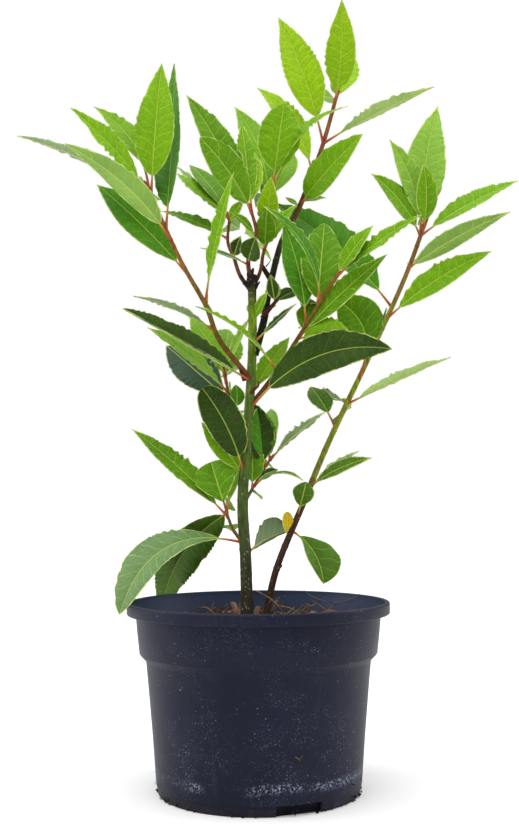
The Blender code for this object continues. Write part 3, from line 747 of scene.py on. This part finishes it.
def barkFinish(name, stops, speck=0.35):
    # Colour by height, broken by streaks along the stem and pale lenticels.
    material, graph, place = newFinish(name)
    height = place.axis("Z")
    low, high = stops[0][0], stops[-1][0]
    streak = place.stretched(1.0, 1.0, 0.22).noise(420.0, 4.0, 0.65)
    blotch = place.noise(70.0, 4.0, 0.6)
    level = (height - low) / (high - low) + (blotch - 0.5) * 0.12
    colour = level.ramp(*[((z - low) / (high - low), tone) for z, tone in stops])
    streaky = streak.ramp((0.28, (0.30, 0.28, 0.26)), (0.68, (1.35, 1.35, 1.3)))
    colour = graph.blend(0.9, colour, streaky, "MULTIPLY")
    lenticel = 1.0 - place.stretched(1.0, 1.0, 0.6).cells(420.0).between(0.12, 0.26)
    lenticel = lenticel * place.noise(120.0).between(0.42, 0.52)
    colour = (lenticel * speck).mix(colour, (0.30, 0.28, 0.22))
    return finishWith(material, colour, 0.62 + streak * 0.15, streak * 0.7 + lenticel * 0.9, 0.5, 0.25 * mm,
                      Specular_IOR_Level=0.14)


def petioleFinish():
    material, graph, place = newFinish("petioleRed")
    blotch = place.noise(160.0)
    share = attribute(graph, "share").out("Fac")
    colour = (share + (blotch - 0.5) * 0.25).ramp(
        (0.0, (0.300, 0.050, 0.018)), (0.45, (0.420, 0.100, 0.022)), (0.8, (0.430, 0.300, 0.045)),
        (1.0, (0.360, 0.440, 0.070)))
    return finishWith(material, colour, 0.45, blotch, 0.2, 0.15 * mm, Specular_IOR_Level=0.25)


print("growing stems")
# Height in metres and colour.
barkTones = {
    "mainBark": (
        (0.118, (0.030, 0.024, 0.016)), (0.150, (0.046, 0.044, 0.024)), (0.200, (0.062, 0.096, 0.020)),
        (0.300, (0.092, 0.160, 0.017)), (0.345, (0.155, 0.255, 0.010)), (0.358, (0.080, 0.095, 0.014)),
        (0.366, (0.014, 0.011, 0.008))),
    "secondBark": (
        (0.118, (0.035, 0.016, 0.010)), (0.190, (0.052, 0.025, 0.013)), (0.222, (0.120, 0.085, 0.020)),
        (0.232, (0.190, 0.200, 0.015)), (0.330, (0.230, 0.270, 0.013)), (0.370, (0.220, 0.130, 0.025)),
        (0.430, (0.260, 0.085, 0.030))),
    "leaderBark": (
        (0.318, (0.010, 0.010, 0.007)), (0.390, (0.022, 0.024, 0.008)), (0.415, (0.070, 0.050, 0.012)),
        (0.440, (0.120, 0.040, 0.016)), (0.530, (0.300, 0.095, 0.030))),
    "boughBark": (
        (0.270, (0.130, 0.035, 0.016)), (0.300, (0.150, 0.055, 0.016)), (0.340, (0.175, 0.120, 0.016)),
        (0.390, (0.240, 0.095, 0.020)), (0.440, (0.300, 0.075, 0.026))),
    "youngBark": (
        (0.170, (0.160, 0.120, 0.025)), (0.240, (0.180, 0.080, 0.022)), (0.300, (0.180, 0.045, 0.018)),
        (0.350, (0.075, 0.020, 0.015)), (0.380, (0.150, 0.045, 0.018)), (0.430, (0.250, 0.075, 0.025))),
    "snagBark": (
        (0.118, (0.070, 0.030, 0.018)), (0.280, (0.110, 0.028, 0.018)), (0.350, (0.016, 0.010, 0.008)),
        (0.390, (0.030, 0.012, 0.010))),
}
barks = {name: barkFinish(name, tones, 0.8 if name == "mainBark" else 0.35)
         for name, tones in barkTones.items()}
nodeOfLimb = {"main": "main_stem", "second": "second_stem", "leader": "leader_bough",
              "left": "left_bough", "right": "right_bough"}
# Sides of the tube, then its relief and the height of its rings in millimetres.
tubes = {"main": (32, 0.16, 0.3), "limb": (18, 0.08, 0.3), "twig": (14, 0.06, 0.22)}
for key, node in nodeOfLimb.items():
    look = stems[key]
    limb = barkPiece(key + "Bark", [stemRoute(key, 0.0, look["bare"], False)], barks[look["finish"]],
                     *tubes.get(key, tubes["limb"]), len(key) * 0.37)
    keep(limb, "bark", node)
for key, look in stems.items():
    if look["bare"] < 1.0:
        shoot = barkPiece(key + "Twig", [stemRoute(key, look["bare"], 1.0, True)], barks[look["finish"]],
                          *tubes["twig"], len(key) * 0.53)
        keep(shoot, "bark")

# Pruned ends, buds and a nub: thickness at both ends and the way, in millimetres.
snags = (
    (3.6, 0.8, (-6, -1, 366), (-9.5, -2, 369.5), (-12.2, -3, 373.4)),
    (3.4, 0.9, (-5, -2, 365), (-8.6, -3, 366.5), (-10.4, -3, 366.8)),
    (3.4, 0.8, (-2, -2, 366), (-0.2, -3, 370.5), (1.4, -3, 374)),
    (3.0, 0.7, (-1, -1, 364), (1.0, -2, 366.8), (2.6, -2, 368.6)),
    (4.6, 1.4, (-4.5, -2, 369), (-3.4, -2, 375), (-2.2, -2, 378.5)),
    (4.0, 1.8, (-3.6, -1, 367), (-5.8, -2, 373), (-5.9, -2, 377)),
    (4.6, 3.2, (12, 15, 371), (7.4, 12, 377.5), (3.2, 10, 384)),
    (1.0, 0.3, (7.0, 10, 382), (9.4, 10, 385), (11.0, 10, 387.6)),
    (3.0, 0.9, (-5.0, 0, 286), (-1.6, -2, 289.5), (0.9, -3, 291.5), (0.7, -3, 295)),
    (4.0, 1.6, (-9, 0, 296), (-11.5, -3, 302), (-13, -4, 306)),
    (2.2, 0.9, (13.4, 2, 157), (16.2, 1, 159.2), (17.6, 1, 160.8)),
)
knots = []
for foot, tip, *way in snags:
    line = smoothLine(way, 5)
    last = len(line) - 1
    knots.append([(spot, 0.5 * mm * (foot + (tip - foot) * k / last)) for k, spot in enumerate(line)])
keep(barkPiece("snags", knots, barks["snagBark"], 10, 0.14, 0.0, 0.7), "bark")

print("growing leaves")
cadNodes = {obj.name: obj for obj in bpy.data.objects if obj.type == "MESH"}
books = {tint: {"verts": [], "faces": [], "sides": [], "blades": [], "shades": []} for tint in tints}
petioles = []
leafNodes = []
for key in stems:
    plan = list(leaves[key])
    shootName = key + "_shoot"
    if shootName in cadNodes:
        # A far-side leaf grows where the solid has one.
        leafNodes.append(shootName)
        solid = cadNodes[shootName].data
        surface = BVHTree.FromPolygons([v.co for v in solid.vertices], [p.vertices for p in solid.polygons])
        for row in farRows(key):
            if surface.find_nearest(along(leafFrame(key, row), 0.8)[0])[3] < far["reach"]:
                plan.append(row)
    for number, row in enumerate(plan):
        grown = leafFrame(key, row)
        growBlade(books[grown["tint"]], grown, Random(f"{key} {number}"))
        petioles.append(petioleRoute(grown))
leafNodes += [f"main_leaf_{n}" for n in range(1, 11)] + [f"second_leaf_{n}" for n in range(1, 6)]
for tint, book in books.items():
    piece = buildLeafPiece(tint + "Leaves", book, [leafFinish(tint, False), leafFinish(tint, True)])
    keep(piece, "leaf", *(leafNodes if tint == "mature" else ()))
    print(tint, "leaves", len(book["faces"]))
keep(barkPiece("petioles", petioles, petioleFinish(), 10, 0.03, 0.0, 0.2), "bark")


# Radii and heights in millimetres.
pot = {
    "rim": 95.0, "top": 135.0, "band": 8.5, "shoulder": 98.5, "drop": 4.5, "base": 72.4, "wall": 1.6,
    "foot": 8.0, "inner": 65.0, "pad": 16.0, "recess": 3.5, "floor": 2.0, "sides": 240,
    "notches": 3, "notchWidth": 33.0, "notchDepth": 9.0, "notchTurn": radians(-68), "sharp": radians(38),
}


def arc(x, z, radius, start, end, steps=4):
    turns = [radians(start + (end - start) * k / steps) for k in range(steps + 1)]
    return [(x + radius * cos(turn), z + radius * sin(turn)) for turn in turns]


def potOutline():
    # From the underside up the outside, over the rim and down the inside.
    rim, top, ledge, base, wall, foot, inner, pad, recess = [pot[name] for name in (
        "rim", "top", "shoulder", "base", "wall", "foot", "inner", "pad", "recess")]
    low, step = top - pot["band"], ledge - pot["drop"]
    return [
        (0, 0), (pad, 0), (pad + 1, recess), (inner, recess), (inner + 1, 0.4), (inner + 1.4, 0),
        *arc(base - 1.2, 1.2, 1.2, -90, 0), (base + 1.4, foot), (76.2, 40), (79.2, 74),
        (81.0, step - 1.0), (81.6, step + 0.4), (85.0, ledge - 0.6), (85.8, ledge + 0.4),
        (87.4, 114), (88.5, low - 0.6), (89.2, low), *arc(rim - 1.2, low + 1.2, 1.2, -90, 0),
        *arc(rim - 1.5, top - 1.5, 1.5, 0, 90, 5), *arc(rim - 2.4, top - 0.9, 0.9, 90, 180),
        (rim - 3.6, top - 4), (88.6 - wall, low - 2), (85.7 - wall, ledge), (81.2 - wall, step),
        (base, foot + 2.4), (base - 1, foot + pot["floor"]), (0, foot + pot["floor"])]


def spun(name, points, sides):
    shape = bmesh.new()
    verts = [shape.verts.new((r * mm, 0.0, z * mm)) for r, z in points]
    edges = [shape.edges.new(pair) for pair in zip(verts, verts[1:])]
    bmesh.ops.spin(shape, geom=verts + edges, cent=(0, 0, 0), axis=(0, 0, 1), angle=tau, steps=sides)
    bmesh.ops.remove_doubles(shape, verts=shape.verts, dist=0.01 * mm)
    bmesh.ops.recalc_face_normals(shape, faces=shape.faces)
    return shaped(name, shape)


def shaped(name, shape, finish=None):
    piece = makePiece(name, finish=finish)
    shape.to_mesh(piece.data)
    shape.free()
    return piece


def potFinish():
    # Blue-black plastic with dust, pale specks, a seam and a tide of lime near the foot, a painted bluish
    # reflection on the inner faces and painted shade in the notches.
    material, graph, place = newFinish("nurseryPlastic")
    height = place.axis("Z")
    cloud = place.noise(14.0, 5.0, 0.6)
    grain = place.noise(900.0, 2.0)
    drip = place.stretched(1.0, 1.0, 0.12).noise(120.0, 4.0, 0.6)
    dust = drip.between(0.55, 0.80) * 0.12
    level = graph.vector("MULTIPLY", place, (1.0, 1.0, 0.0))
    facing = graph.shader("NewGeometry").out("Normal")
    # Inward-facing walls get a lighter, bluer colour: a painted reflection on the pot's inner faces.
    innerPaintedSheen = 1.0 - graph.vector("DOT_PRODUCT", facing, level, out=1).between(-0.02, 0.0)
    lower = 1.0 - height.between(0.020, 0.110)
    layers = [(dust, (0.075, 0.080, 0.110)), (innerPaintedSheen, (0.0240, 0.0340, 0.0720))]
    for scale, low, reach, much in ((190.0, 0.88, 0.10, 0.75), (430.0, 0.82, 0.18, 0.70)):
        cells = place.cells(scale)
        chance = graph.shader("SeparateColor", {}, {0: cells.out("Color")}).out("Red")
        speck = 1.0 - cells.out("Distance").between(0.04, reach)
        speck = speck * (chance + lower * 0.12).between(low, low + 0.06)
        speck = speck * place.noise(26.0).between(0.40, 0.60)
        layers.append((speck * much, (0.42, 0.45, 0.54)))
    powder = place.noise(1100.0, 2.0, 0.8).between(0.58, 0.70)
    powder = powder * place.noise(34.0, 5.0, 0.8).between(0.42, 0.70)
    powder = powder * (1.0 - height.between(0.138, 0.150)) * (0.60 + lower * 0.40)
    tide = height - (0.0175 + (place.noise(40.0) - 0.5) * 0.010)
    lime = 1.0 - (abs(tide) / 0.0050).between(0.1, 1.0)
    lime = lime * place.noise(640.0, 4.0, 0.75).between(0.50, 0.62) * place.noise(24.0).between(0.38, 0.60)
    dirt = 1.0 - (height + (drip - 0.5) * 0.010).between(0.001, 0.0075)
    dirt = dirt * place.noise(200.0).between(0.35, 0.60)
    seam = 1.0 - (abs(height - 0.0066) / 0.0005).between(0.4, 1.2)
    away = graph.vector("LENGTH", level, out=1)
    # Near-black inside the notches, below 6 mm and inward of the outer wall: painted shade in the recess.
    notchPaintedShade = 1.0 - away.between((pot["base"] - 2.6) * mm, (pot["base"] - 2.0) * mm)
    notchPaintedShade = notchPaintedShade * (1.0 - height.between(0.006, 0.0064))
    layers += [(powder * 0.52, (0.34, 0.38, 0.48)), (lime * 0.8, (0.36, 0.41, 0.54)),
               (dirt * 0.8, (0.022, 0.016, 0.012)), (seam * 0.6, (0.0012, 0.0014, 0.0035)),
               (notchPaintedShade, (0.0008, 0.0008, 0.0010))]
    colour = cloud.between(0.35, 0.7).mix((0.0042, 0.0050, 0.0135), (0.0078, 0.0088, 0.0215))
    for amount, tone in layers:
        colour = amount.mix(colour, tone)
    rough = 0.42 - height.between(0.146, 0.150) * 0.12 + cloud * 0.14 + lime * 0.25 + dirt * 0.2 + dust * 0.6
    return finishWith(material, colour, rough, grain * 0.25 + cloud * 1.2 + lime * 1.5 + speck, 0.30,
                      0.2 * mm, Specular_IOR_Level=0.19, Specular_Tint=(0.74, 0.78, 1.0, 1.0))


print("turning the pot")
shell = spun("potShell", potOutline(), pot["sides"])
cutters = bpy.data.collections.new("notches")
scene.collection.children.link(cutters)
for k in range(pot["notches"]):
    notch = bmesh.new()
    bmesh.ops.create_cube(notch, size=1.0)
    size = Vector((pot["notchDepth"], pot["notchWidth"], 2 * pot["foot"] - 1)) * mm
    turn = Matrix.Rotation(pot["notchTurn"] + tau * k / pot["notches"], 4, "Z")
    lay = turn @ Matrix.Translation((pot["base"] * mm, 0, 0)) @ Matrix.Diagonal((*size, 1.0))
    bmesh.ops.transform(notch, matrix=lay, verts=notch.verts)
    cutter = shaped("notch", notch)
    scene.collection.objects.unlink(cutter)
    cutters.objects.link(cutter)
cut = shell.modifiers.new("notches", "BOOLEAN")
cut.operation = "DIFFERENCE"
cut.operand_type = "COLLECTION"
cut.collection = cutters
settle(shell)


def dropCollection(home):
    for old in list(home.objects):
        bpy.data.objects.remove(old)
    bpy.data.collections.remove(home)


dropCollection(cutters)
shell.data.materials.clear()
shell.data.materials.append(potFinish())
shell.data.shade_smooth()
shell.data.set_sharp_from_angle(angle=pot["sharp"])
keep(shell, "pot", "pot")


mix = {
    "top": 118.0 * mm, "radius": 85.0 * mm, "skirt": 12 * mm, "rings": 90, "sides": 260,
    "lump": 3.0 * mm, "flat": 9 * mm, "clear": 8 * mm, "slope": 15 * mm, "seed": 5,
}
# How many lie there, how far out, and how many shapes they take.
loose = {"barkChips": (150, 78 * mm, 7), "mixCrumbs": (2600, 83.5 * mm, 5)}


def clearOfStems(x, y):
    return min((Vector((x, y)) - Vector(stems[key]["route"][0][:2]) * mm).length for key in flares)


def mixHeight(x, y):
    def rough(part, layer, scale):
        return part * noise.noise(Vector((x, y, layer)) * scale)

    fade = min(1.0, max(0.25, (clearOfStems(x, y) - mix["flat"]) / mix["slope"]))
    lump = rough(1, 0, 60.0) + rough(0.5, 1, 140.0)
    fine = rough(0.35, 2, 420.0) + rough(0.2, 3, 1100.0)
    return mix["top"] + mix["lump"] * (0.75 * lump + fine) * fade


def mixFinish():
    material, graph, place = newFinish("pottingMix")
    fibre = place.stretched(1.0, 0.4, 1.0).noise(700.0, 5.0, 0.7)
    clump = place.noise(150.0, 4.0, 0.6)
    colour = (clump * 0.6 + fibre * 0.4).ramp(
        (0.25, (0.016, 0.010, 0.007)), (0.5, (0.045, 0.026, 0.017)), (0.75, (0.110, 0.065, 0.040)))
    return finishWith(material, colour, 0.93, fibre + clump, 0.8, 0.8 * mm)


def chipFinish(name, stops):
    # Torn bark: each chip takes its own tone, with grain along it.
    material, graph, place = newFinish(name)
    grain = place.stretched(0.5, 1.0, 1.6).noise(500.0, 4.0, 0.65)
    colour = (attribute(graph, "tone").out("Fac") * 0.75 + grain * 0.25).ramp(*stops)
    return finishWith(material, colour, 0.85, grain, 0.7, 0.5 * mm, Specular_IOR_Level=0.15)


def scatterTree():
    # Shapes from a collection laid on the mix by a seeded draw, each with its own tone.
    tree, graph, given = newTree("scatterOnMix", Shapes="Collection", Count=100, Smallest=0.5, Largest=1.5,
                                 Tilt=0.4, Lift=1 * mm, Seed=0, Finish="Material")
    index = graph.geometry("InputIndex")
    wanted = graph.node("FunctionNodeCompare", {"data_type": "FLOAT", "operation": "LESS_THAN"},
                        {"A": index, "B": given("Count")})
    seats = graph.geometry("MeshToPoints", Mesh=given("Geometry"), Radius=1 * mm, Selection=wanted)
    tilt = given("Tilt")

    def draw(low, high, extra):
        return graph.node("FunctionNodeRandomValue", {"data_type": "FLOAT"},
                          {2: low, 3: high, "ID": index, "Seed": given("Seed") + extra}, 1)

    turn = graph.shader("CombineXYZ", {}, {0: draw(0.0 - tilt, tilt, 1), 1: draw(0.0 - tilt, tilt, 2),
                                           2: draw(0.0, tau, 3)})
    size = draw(given("Smallest"), given("Largest"), 4)
    shapes = graph.geometry("CollectionInfo", Collection=given("Shapes"), Separate_Children=True,
                            Reset_Children=True)
    laid = graph.geometry("InstanceOnPoints", Points=seats, Instance=shapes, Pick_Instance=True,
                          Rotation=turn, Scale=size)
    laid = graph.geometry("StoreNamedAttribute", {"data_type": "FLOAT", "domain": "INSTANCE"},
                          Geometry=laid, Name="tone", Value=draw(0.0, 1.0, 5))
    lift = graph.shader("CombineXYZ", {}, {2: given("Lift")})
    whole = graph.geometry("RealizeInstances", Geometry=laid)
    endTree(graph, graph.geometry("SetPosition", Geometry=whole, Offset=lift), given("Finish"))
    return tree


# Length, width and thickness in millimetres.
chip = {"size": ((7, 15), (3, 6.5), (0.9, 2.0)), "ragged": 0.10, "rough": 0.4, "bend": 1.2}


def barkChip(random):
    # A torn flake: a slab with ragged ends.
    shape = bmesh.new()
    bmesh.ops.create_grid(shape, x_segments=5, y_segments=3, size=0.5)
    size = Vector([random.uniform(*span) for span in chip["size"]]) * mm
    for vert in shape.verts:
        x, y = vert.co.xy
        ragged = noise.noise(vert.co * 7.0 + Vector((random.random(), 0, 0)))
        torn = chip["ragged"] * ragged
        vert.co = Vector(((x + torn) * size.x, (y + torn) * size.y,
                          size.z * (chip["rough"] * ragged - chip["bend"] * x ** 2)))
    made = bmesh.ops.extrude_face_region(shape, geom=shape.faces[:])
    for vert in made["geom"]:
        if isinstance(vert, bmesh.types.BMVert):
            vert.co.z += size.z
    bmesh.ops.recalc_face_normals(shape, faces=shape.faces)
    return shape


def crumb(random):
    shape = bmesh.new()
    bmesh.ops.create_icosphere(shape, subdivisions=1, radius=1.0 * mm)
    for vert in shape.verts:
        vert.co *= random.uniform(0.6, 1.25)
        vert.co.z *= 0.7
    return shape


def addShape(whole, shape, place, turn, size):
    # Lays one shape into the whole, and gives back how many points it has.
    lay = Matrix.LocRotScale(Vector(place), Euler(turn), Vector((size,) * 3))
    bmesh.ops.transform(shape, matrix=lay, verts=shape.verts)
    mesh = bpy.data.meshes.new("part")
    shape.to_mesh(mesh)
    shape.free()
    whole.from_mesh(mesh)
    count = len(mesh.vertices)
    bpy.data.meshes.remove(mesh)
    return count


print("filling the pot")
random = Random(mix["seed"])
sides = mix["sides"]
nexts = [(k, (k + 1) % sides) for k in range(sides)]
verts = [(0.0, 0.0, mixHeight(0.0, 0.0))]
for ring in range(1, mix["rings"] + 1):
    reach = mix["radius"] * ring / mix["rings"]
    for k in range(sides):
        x, y = reach * cos(tau * k / sides), reach * sin(tau * k / sides)
        verts.append((x, y, mixHeight(x, y)))
faces = [(0, 1 + k, 1 + n) for k, n in nexts]
for low in range(1, 1 + (mix["rings"] - 1) * sides, sides):
    faces += [(low + k, low + sides + k, low + sides + n, low + n) for k, n in nexts]
last, skirt = len(verts) - sides, len(verts)
verts += [(x, y, mix["top"] - mix["skirt"]) for x, y, z in verts[last:]]
faces += [(last + k, skirt + k, skirt + n, last + n) for k, n in nexts]
faces.append(tuple(range(skirt, skirt + sides))[::-1])
surface = makePiece("mixSurface", verts, faces, mixFinish())
surface.data.shade_smooth()
keep(surface, "mix", "potting_mix")

scatter = scatterTree()
brownTones = ((0.0, (0.024, 0.014, 0.010)), (0.35, (0.078, 0.040, 0.026)), (0.7, (0.220, 0.120, 0.078)),
              (1.0, (0.440, 0.290, 0.210)))
crumbTones = ((0.0, (0.012, 0.008, 0.006)), (0.6, (0.055, 0.032, 0.020)), (0.93, (0.150, 0.090, 0.055)),
              (1.0, (0.500, 0.470, 0.420)))


def scattered(name, maker, finish, **values):
    # Seats on the mix, clear of the stems' feet and the wall, with a shape laid on each.
    count, edge, variety = loose[name]
    verts = []
    while len(verts) < count:
        reach = edge * random.random() ** 0.5
        turn = random.uniform(0, tau)
        x, y = reach * cos(turn), reach * sin(turn)
        if clearOfStems(x, y) > mix["clear"]:
            verts.append((x, y, mixHeight(x, y)))
    home = bpy.data.collections.new(name + "Shapes")
    scene.collection.children.link(home)
    for number in range(variety):
        shape = shaped(f"{name}Shape{number}", maker(random))
        scene.collection.objects.unlink(shape)
        home.objects.link(shape)
    piece = makePiece(name, verts)
    addTree(piece, scatter, Shapes=home, Finish=finish, Count=count, **values)
    settle(piece)
    dropCollection(home)
    keep(piece, "mix")


scattered("barkChips", barkChip, chipFinish("barkChip", brownTones),
          Smallest=0.5, Largest=1.25, Tilt=0.45, Lift=1.2 * mm, Seed=3)
scattered("mixCrumbs", crumb, chipFinish("mixCrumb", crumbTones),
          Smallest=0.3, Largest=1.3, Tilt=1.5, Lift=0.2 * mm, Seed=8)

# Specks of dried mix stuck round the foot of the pot, finer and fewer higher up.
dried = {"count": 190, "low": 0.4 * mm, "high": 15 * mm, "thinning": 2.6, "off": 0.6, "flare": 1.5 * mm,
         "straight": 8 * mm, "size": (0.35, 1.0), "coarse": 5 * mm, "fine": 0.6}
grit = bmesh.new()
for k in range(dried["count"]):
    turn = random.uniform(0, tau)
    height = dried["low"] + dried["high"] * random.random() ** dried["thinning"]
    reach = (pot["base"] + dried["off"]) * mm + dried["flare"] * min(1.0, height / dried["straight"])
    size = random.uniform(*dried["size"]) * (1.0 if height < dried["coarse"] else dried["fine"])
    addShape(grit, crumb(random), (reach * cos(turn), reach * sin(turn), height), (turn, 0, turn), size)
gritPaint, graph, place = newFinish("driedMix")
colour = place.noise(220.0).between(0.35, 0.65).mix((0.010, 0.008, 0.007), (0.048, 0.028, 0.020))
finishWith(gritPaint, colour, 0.9, Specular_IOR_Level=0.1)
keep(shaped("stuckGrit", grit, gritPaint), "mix")

# Torn bark standing against the wall and the stems: place, turn in degrees, size, tone.
flakes = (
    ((-18, 26, 127), (14, -66, 150), 1.15, 0.85), ((-12, 34, 126), (-20, -75, 60), 0.9, 0.45),
    ((-24, 38, 124), (10, -60, 20), 0.8, 0.25), ((-14, 20, 124), (40, -30, 95), 0.7, 0.55),
    ((-36, 50, 123), (20, -30, 40), 0.7, 0.20), ((-43, 44, 122), (10, -20, 170), 0.7, 0.30),
    ((-1, 30, 125), (10, -50, 50), 0.7, 0.60), ((13, 34, 127), (-10, -62, 20), 0.9, 0.40),
    ((20, 44, 124), (25, -30, 150), 0.9, 0.35), ((38, 48, 123), (-15, -40, 110), 0.7, 0.30),
    ((30, 30, 123), (35, -20, 60), 0.7, 0.25), ((52, 44, 122), (20, -25, 140), 0.7, 0.20),
    ((-30, 30, 123), (0, -45, 110), 0.7, 0.15), ((6, 46, 123), (30, -40, 10), 0.8, 0.25),
)
stack = bmesh.new()
tones = []
for place, turn, size, tone in flakes:
    turn = [radians(angle) for angle in turn]
    tones += [tone] * addShape(stack, barkChip(random), Vector(place) * mm, turn, size)
standing = shaped("standingBark", stack, chipFinish("standingBark", brownTones))
standing.data.attributes.new("tone", "FLOAT", "POINT").data.foreach_set("value", tones)
keep(standing, "mix")


# Sizes in millimetres; the foot of the stems stays clear.
straw = {
    "count": 46, "steps": 8, "radius": 0.35, "taper": 0.12, "over": 1.0 * mm, "edge": 66 * mm,
    "clear": 20 * mm, "off": 4 * mm, "length": (14, 34), "rise": (0, 5), "bend": 0.8,
}


def strawRoute(x, y, heading, length, rise, bend):
    route = []
    for k in range(straw["steps"] + 1):
        share = k / straw["steps"]
        step = Vector((cos(heading + bend * share), sin(heading + bend * share)))
        place = Vector((x, y)) + step * length * (share - 0.5)
        lift = mixHeight(place.x, place.y) + straw["over"] + rise * sin(pi * share)
        route.append((Vector((place.x, place.y, lift)), (straw["radius"] - straw["taper"] * share) * mm))
    return route


def strawFinish():
    material, graph, place = newFinish("strawFibre")
    streak = place.noise(90.0)
    colour = streak.between(0.35, 0.65).mix((0.300, 0.205, 0.110), (0.062, 0.034, 0.022))
    return finishWith(material, colour, 0.75, streak, 0.3, 0.2 * mm, Specular_IOR_Level=0.15)


straws = []
while len(straws) < straw["count"]:
    reach, turn = straw["edge"] * random.random() ** 0.5, random.uniform(0, tau)
    x, y = reach * cos(turn), reach * sin(turn)
    if Vector((x + straw["off"], y)).length > straw["clear"]:
        straws.append(strawRoute(x, y, random.uniform(0, tau), random.uniform(*straw["length"]) * mm,
                                 random.uniform(*straw["rise"]) * mm,
                                 random.uniform(-straw["bend"], straw["bend"])))
keep(barkPiece("strawFibres", straws, strawFinish(), 6, 0.03, 0.0, 0.4), "mix")

# Twigs and stalks sticking up out of the mix: the thickness and the way, in millimetres.
litter = (
    (1.5, (-1.6, -6, 143), (3, -7, 140.5), (9, -8, 137), (15, -6, 131), (19, -2, 124)),
    (2.2, (15.5, 6, 136.5), (12, 7, 131), (7.5, 8, 122)), (1.1, (12, 4, 140), (12.6, 5, 135), (9, 8, 122)),
    (1.3, (17, 10, 130), (24, 14, 128), (33, 16, 122)), (1.0, (12, 10, 128), (16, 12, 131), (22, 16, 128)),
    (1.4, (24, 30, 121), (31, 34, 126), (37, 36, 130.5)), (1.0, (28, 44, 121), (38, 46, 126), (44, 48, 128)),
    (1.5, (40, 38, 131), (46, 40, 128), (53, 42, 122)), (1.1, (52, 44, 122), (57, 46, 127), (61, 46, 128)),
    (1.3, (-46, 48, 125), (-40, 46, 126), (-33, 44, 121)), (1.0, (-34, 52, 129), (-37, 52, 124)),
    (1.3, (-32, 34, 119), (-28, 32, 125), (-23, 30, 130)), (1.2, (-30, 46, 120), (-26, 44, 126)),
    (1.0, (4, 22, 121), (9, 24, 127), (13, 24, 129)), (1.2, (19, 20, 122), (27, 24, 128)),
    (0.9, (46, 52, 120), (40, 54, 126), (36, 56, 128)), (1.0, (-14, 44, 120), (-8, 46, 125), (-4, 46, 126)),
)
stick = {"radius": 0.4, "taper": 0.4, "scrap": 0.32 * mm}
sticks = []
for thick, *way in litter:
    line = smoothLine(way, 5)
    sticks.append([(spot, stick["radius"] * thick * mm * (1 - stick["taper"] * k / len(line)))
                   for k, spot in enumerate(line)])
# A scrap of straw on the pot's front.
for way in (((24.0, -72.9, 39.6), (26.0, -72.4, 38.2), (27.2, -72.0, 37.0)),
            ((28.8, -71.4, 40.2), (27.4, -71.9, 38.6), (26.4, -72.4, 37.4))):
    sticks.append([(spot, stick["scrap"]) for spot in smoothLine(way, 4)])
keep(barkPiece("litter", sticks, strawFinish(), 8, 0.12, 0.0, 0.9), "mix")
hair = smoothLine(((36, 81.5, 136), (42, 78.6, 131.5), (54, 71, 127.5), (64, 62.3, 128.5), (72, 53, 131.5),
                   (77.6, 45, 136)), 8)
hairPaint = finishWith(newMaterial("paleHair"), (0.16, 0.16, 0.17), 0.6)
keep(barkPiece("rootHair", [[(spot, 0.16 * mm) for spot in hair]], hairPaint, 6, 0.0, 0.0, 0.1), "mix")


print("setting the studio")
studio = {
    "floor": 30.0, "floorTone": (0.80, 0.80, 0.80), "backdrop": 1.0, "low": 0.22, "high": 1.45,
    "sun": {"turn": (-0.10, -0.36, 0.95), "strength": 1.5, "spread": radians(70)},
    "left": {"place": (-1.5, 0.1, 0.7), "size": 1.0, "power": 9.0},
    "right": {"place": (1.5, 0.2, 0.7), "size": 0.9, "power": 6.0},
    "aim": (0.0, 0.0, 0.25),
}
corners = [(x * studio["floor"], y * studio["floor"], -0.05 * mm)
           for x, y in ((-1, -1), (1, -1), (1, 1), (-1, 1))]
floorPaint = finishWith(newMaterial("floorPaint"), studio["floorTone"], 0.9)
makePiece("studioFloor", corners, [(0, 1, 2, 3)], floorPaint)

world = bpy.data.worlds.new("softStudio")
scene.world = world
world.use_nodes = True
graph = Wire(world.node_tree)
seen = graph.shader("LightPath").out("Is Camera Ray")
climb = graph.shader("TexCoord").out("Generated").axis("Z")
dome = climb.between(0.0, 0.9) * (studio["high"] - studio["low"]) + studio["low"]
back = world.node_tree.nodes["Background"]
back.inputs["Color"].default_value = (1.0, 1.0, 1.0, 1.0)
graph.plug(seen * studio["backdrop"] + (1.0 - seen) * dome, back.inputs["Strength"])
sun = bpy.data.lights.new("softSun", "SUN")
sun.energy = studio["sun"]["strength"]
sun.angle = studio["sun"]["spread"]
lamp = show(bpy.data.objects.new("softSun", sun))
lamp.rotation_euler = Vector(studio["sun"]["turn"]).to_track_quat("Z", "Y").to_euler()
for name in ("left", "right"):
    look = studio[name]
    light = bpy.data.lights.new(name, "AREA")
    light.size = look["size"]
    light.energy = look["power"]
    lamp = show(bpy.data.objects.new(name, light))
    lamp.location = look["place"]
    lamp.rotation_euler = (Vector(studio["aim"]) - lamp.location).to_track_quat("-Z", "Y").to_euler()
scene.view_settings.view_transform = "Standard"

view = {"place": (1.6 * mm, -855 * mm, 213.5 * mm), "tilt": 93.55, "roll": -0.308, "lens": 50.1}
camera = show(bpy.data.objects.new("camera", bpy.data.cameras.new("camera")))
camera.data.lens = view["lens"]
camera.data.sensor_width = 36.0
camera.data.clip_start = 0.02
camera.matrix_world = (Matrix.Translation(view["place"]) @ Matrix.Rotation(radians(view["tilt"]), 4, "X")
                       @ Matrix.Rotation(radians(view["roll"]), 4, "Z"))
scene.camera = camera
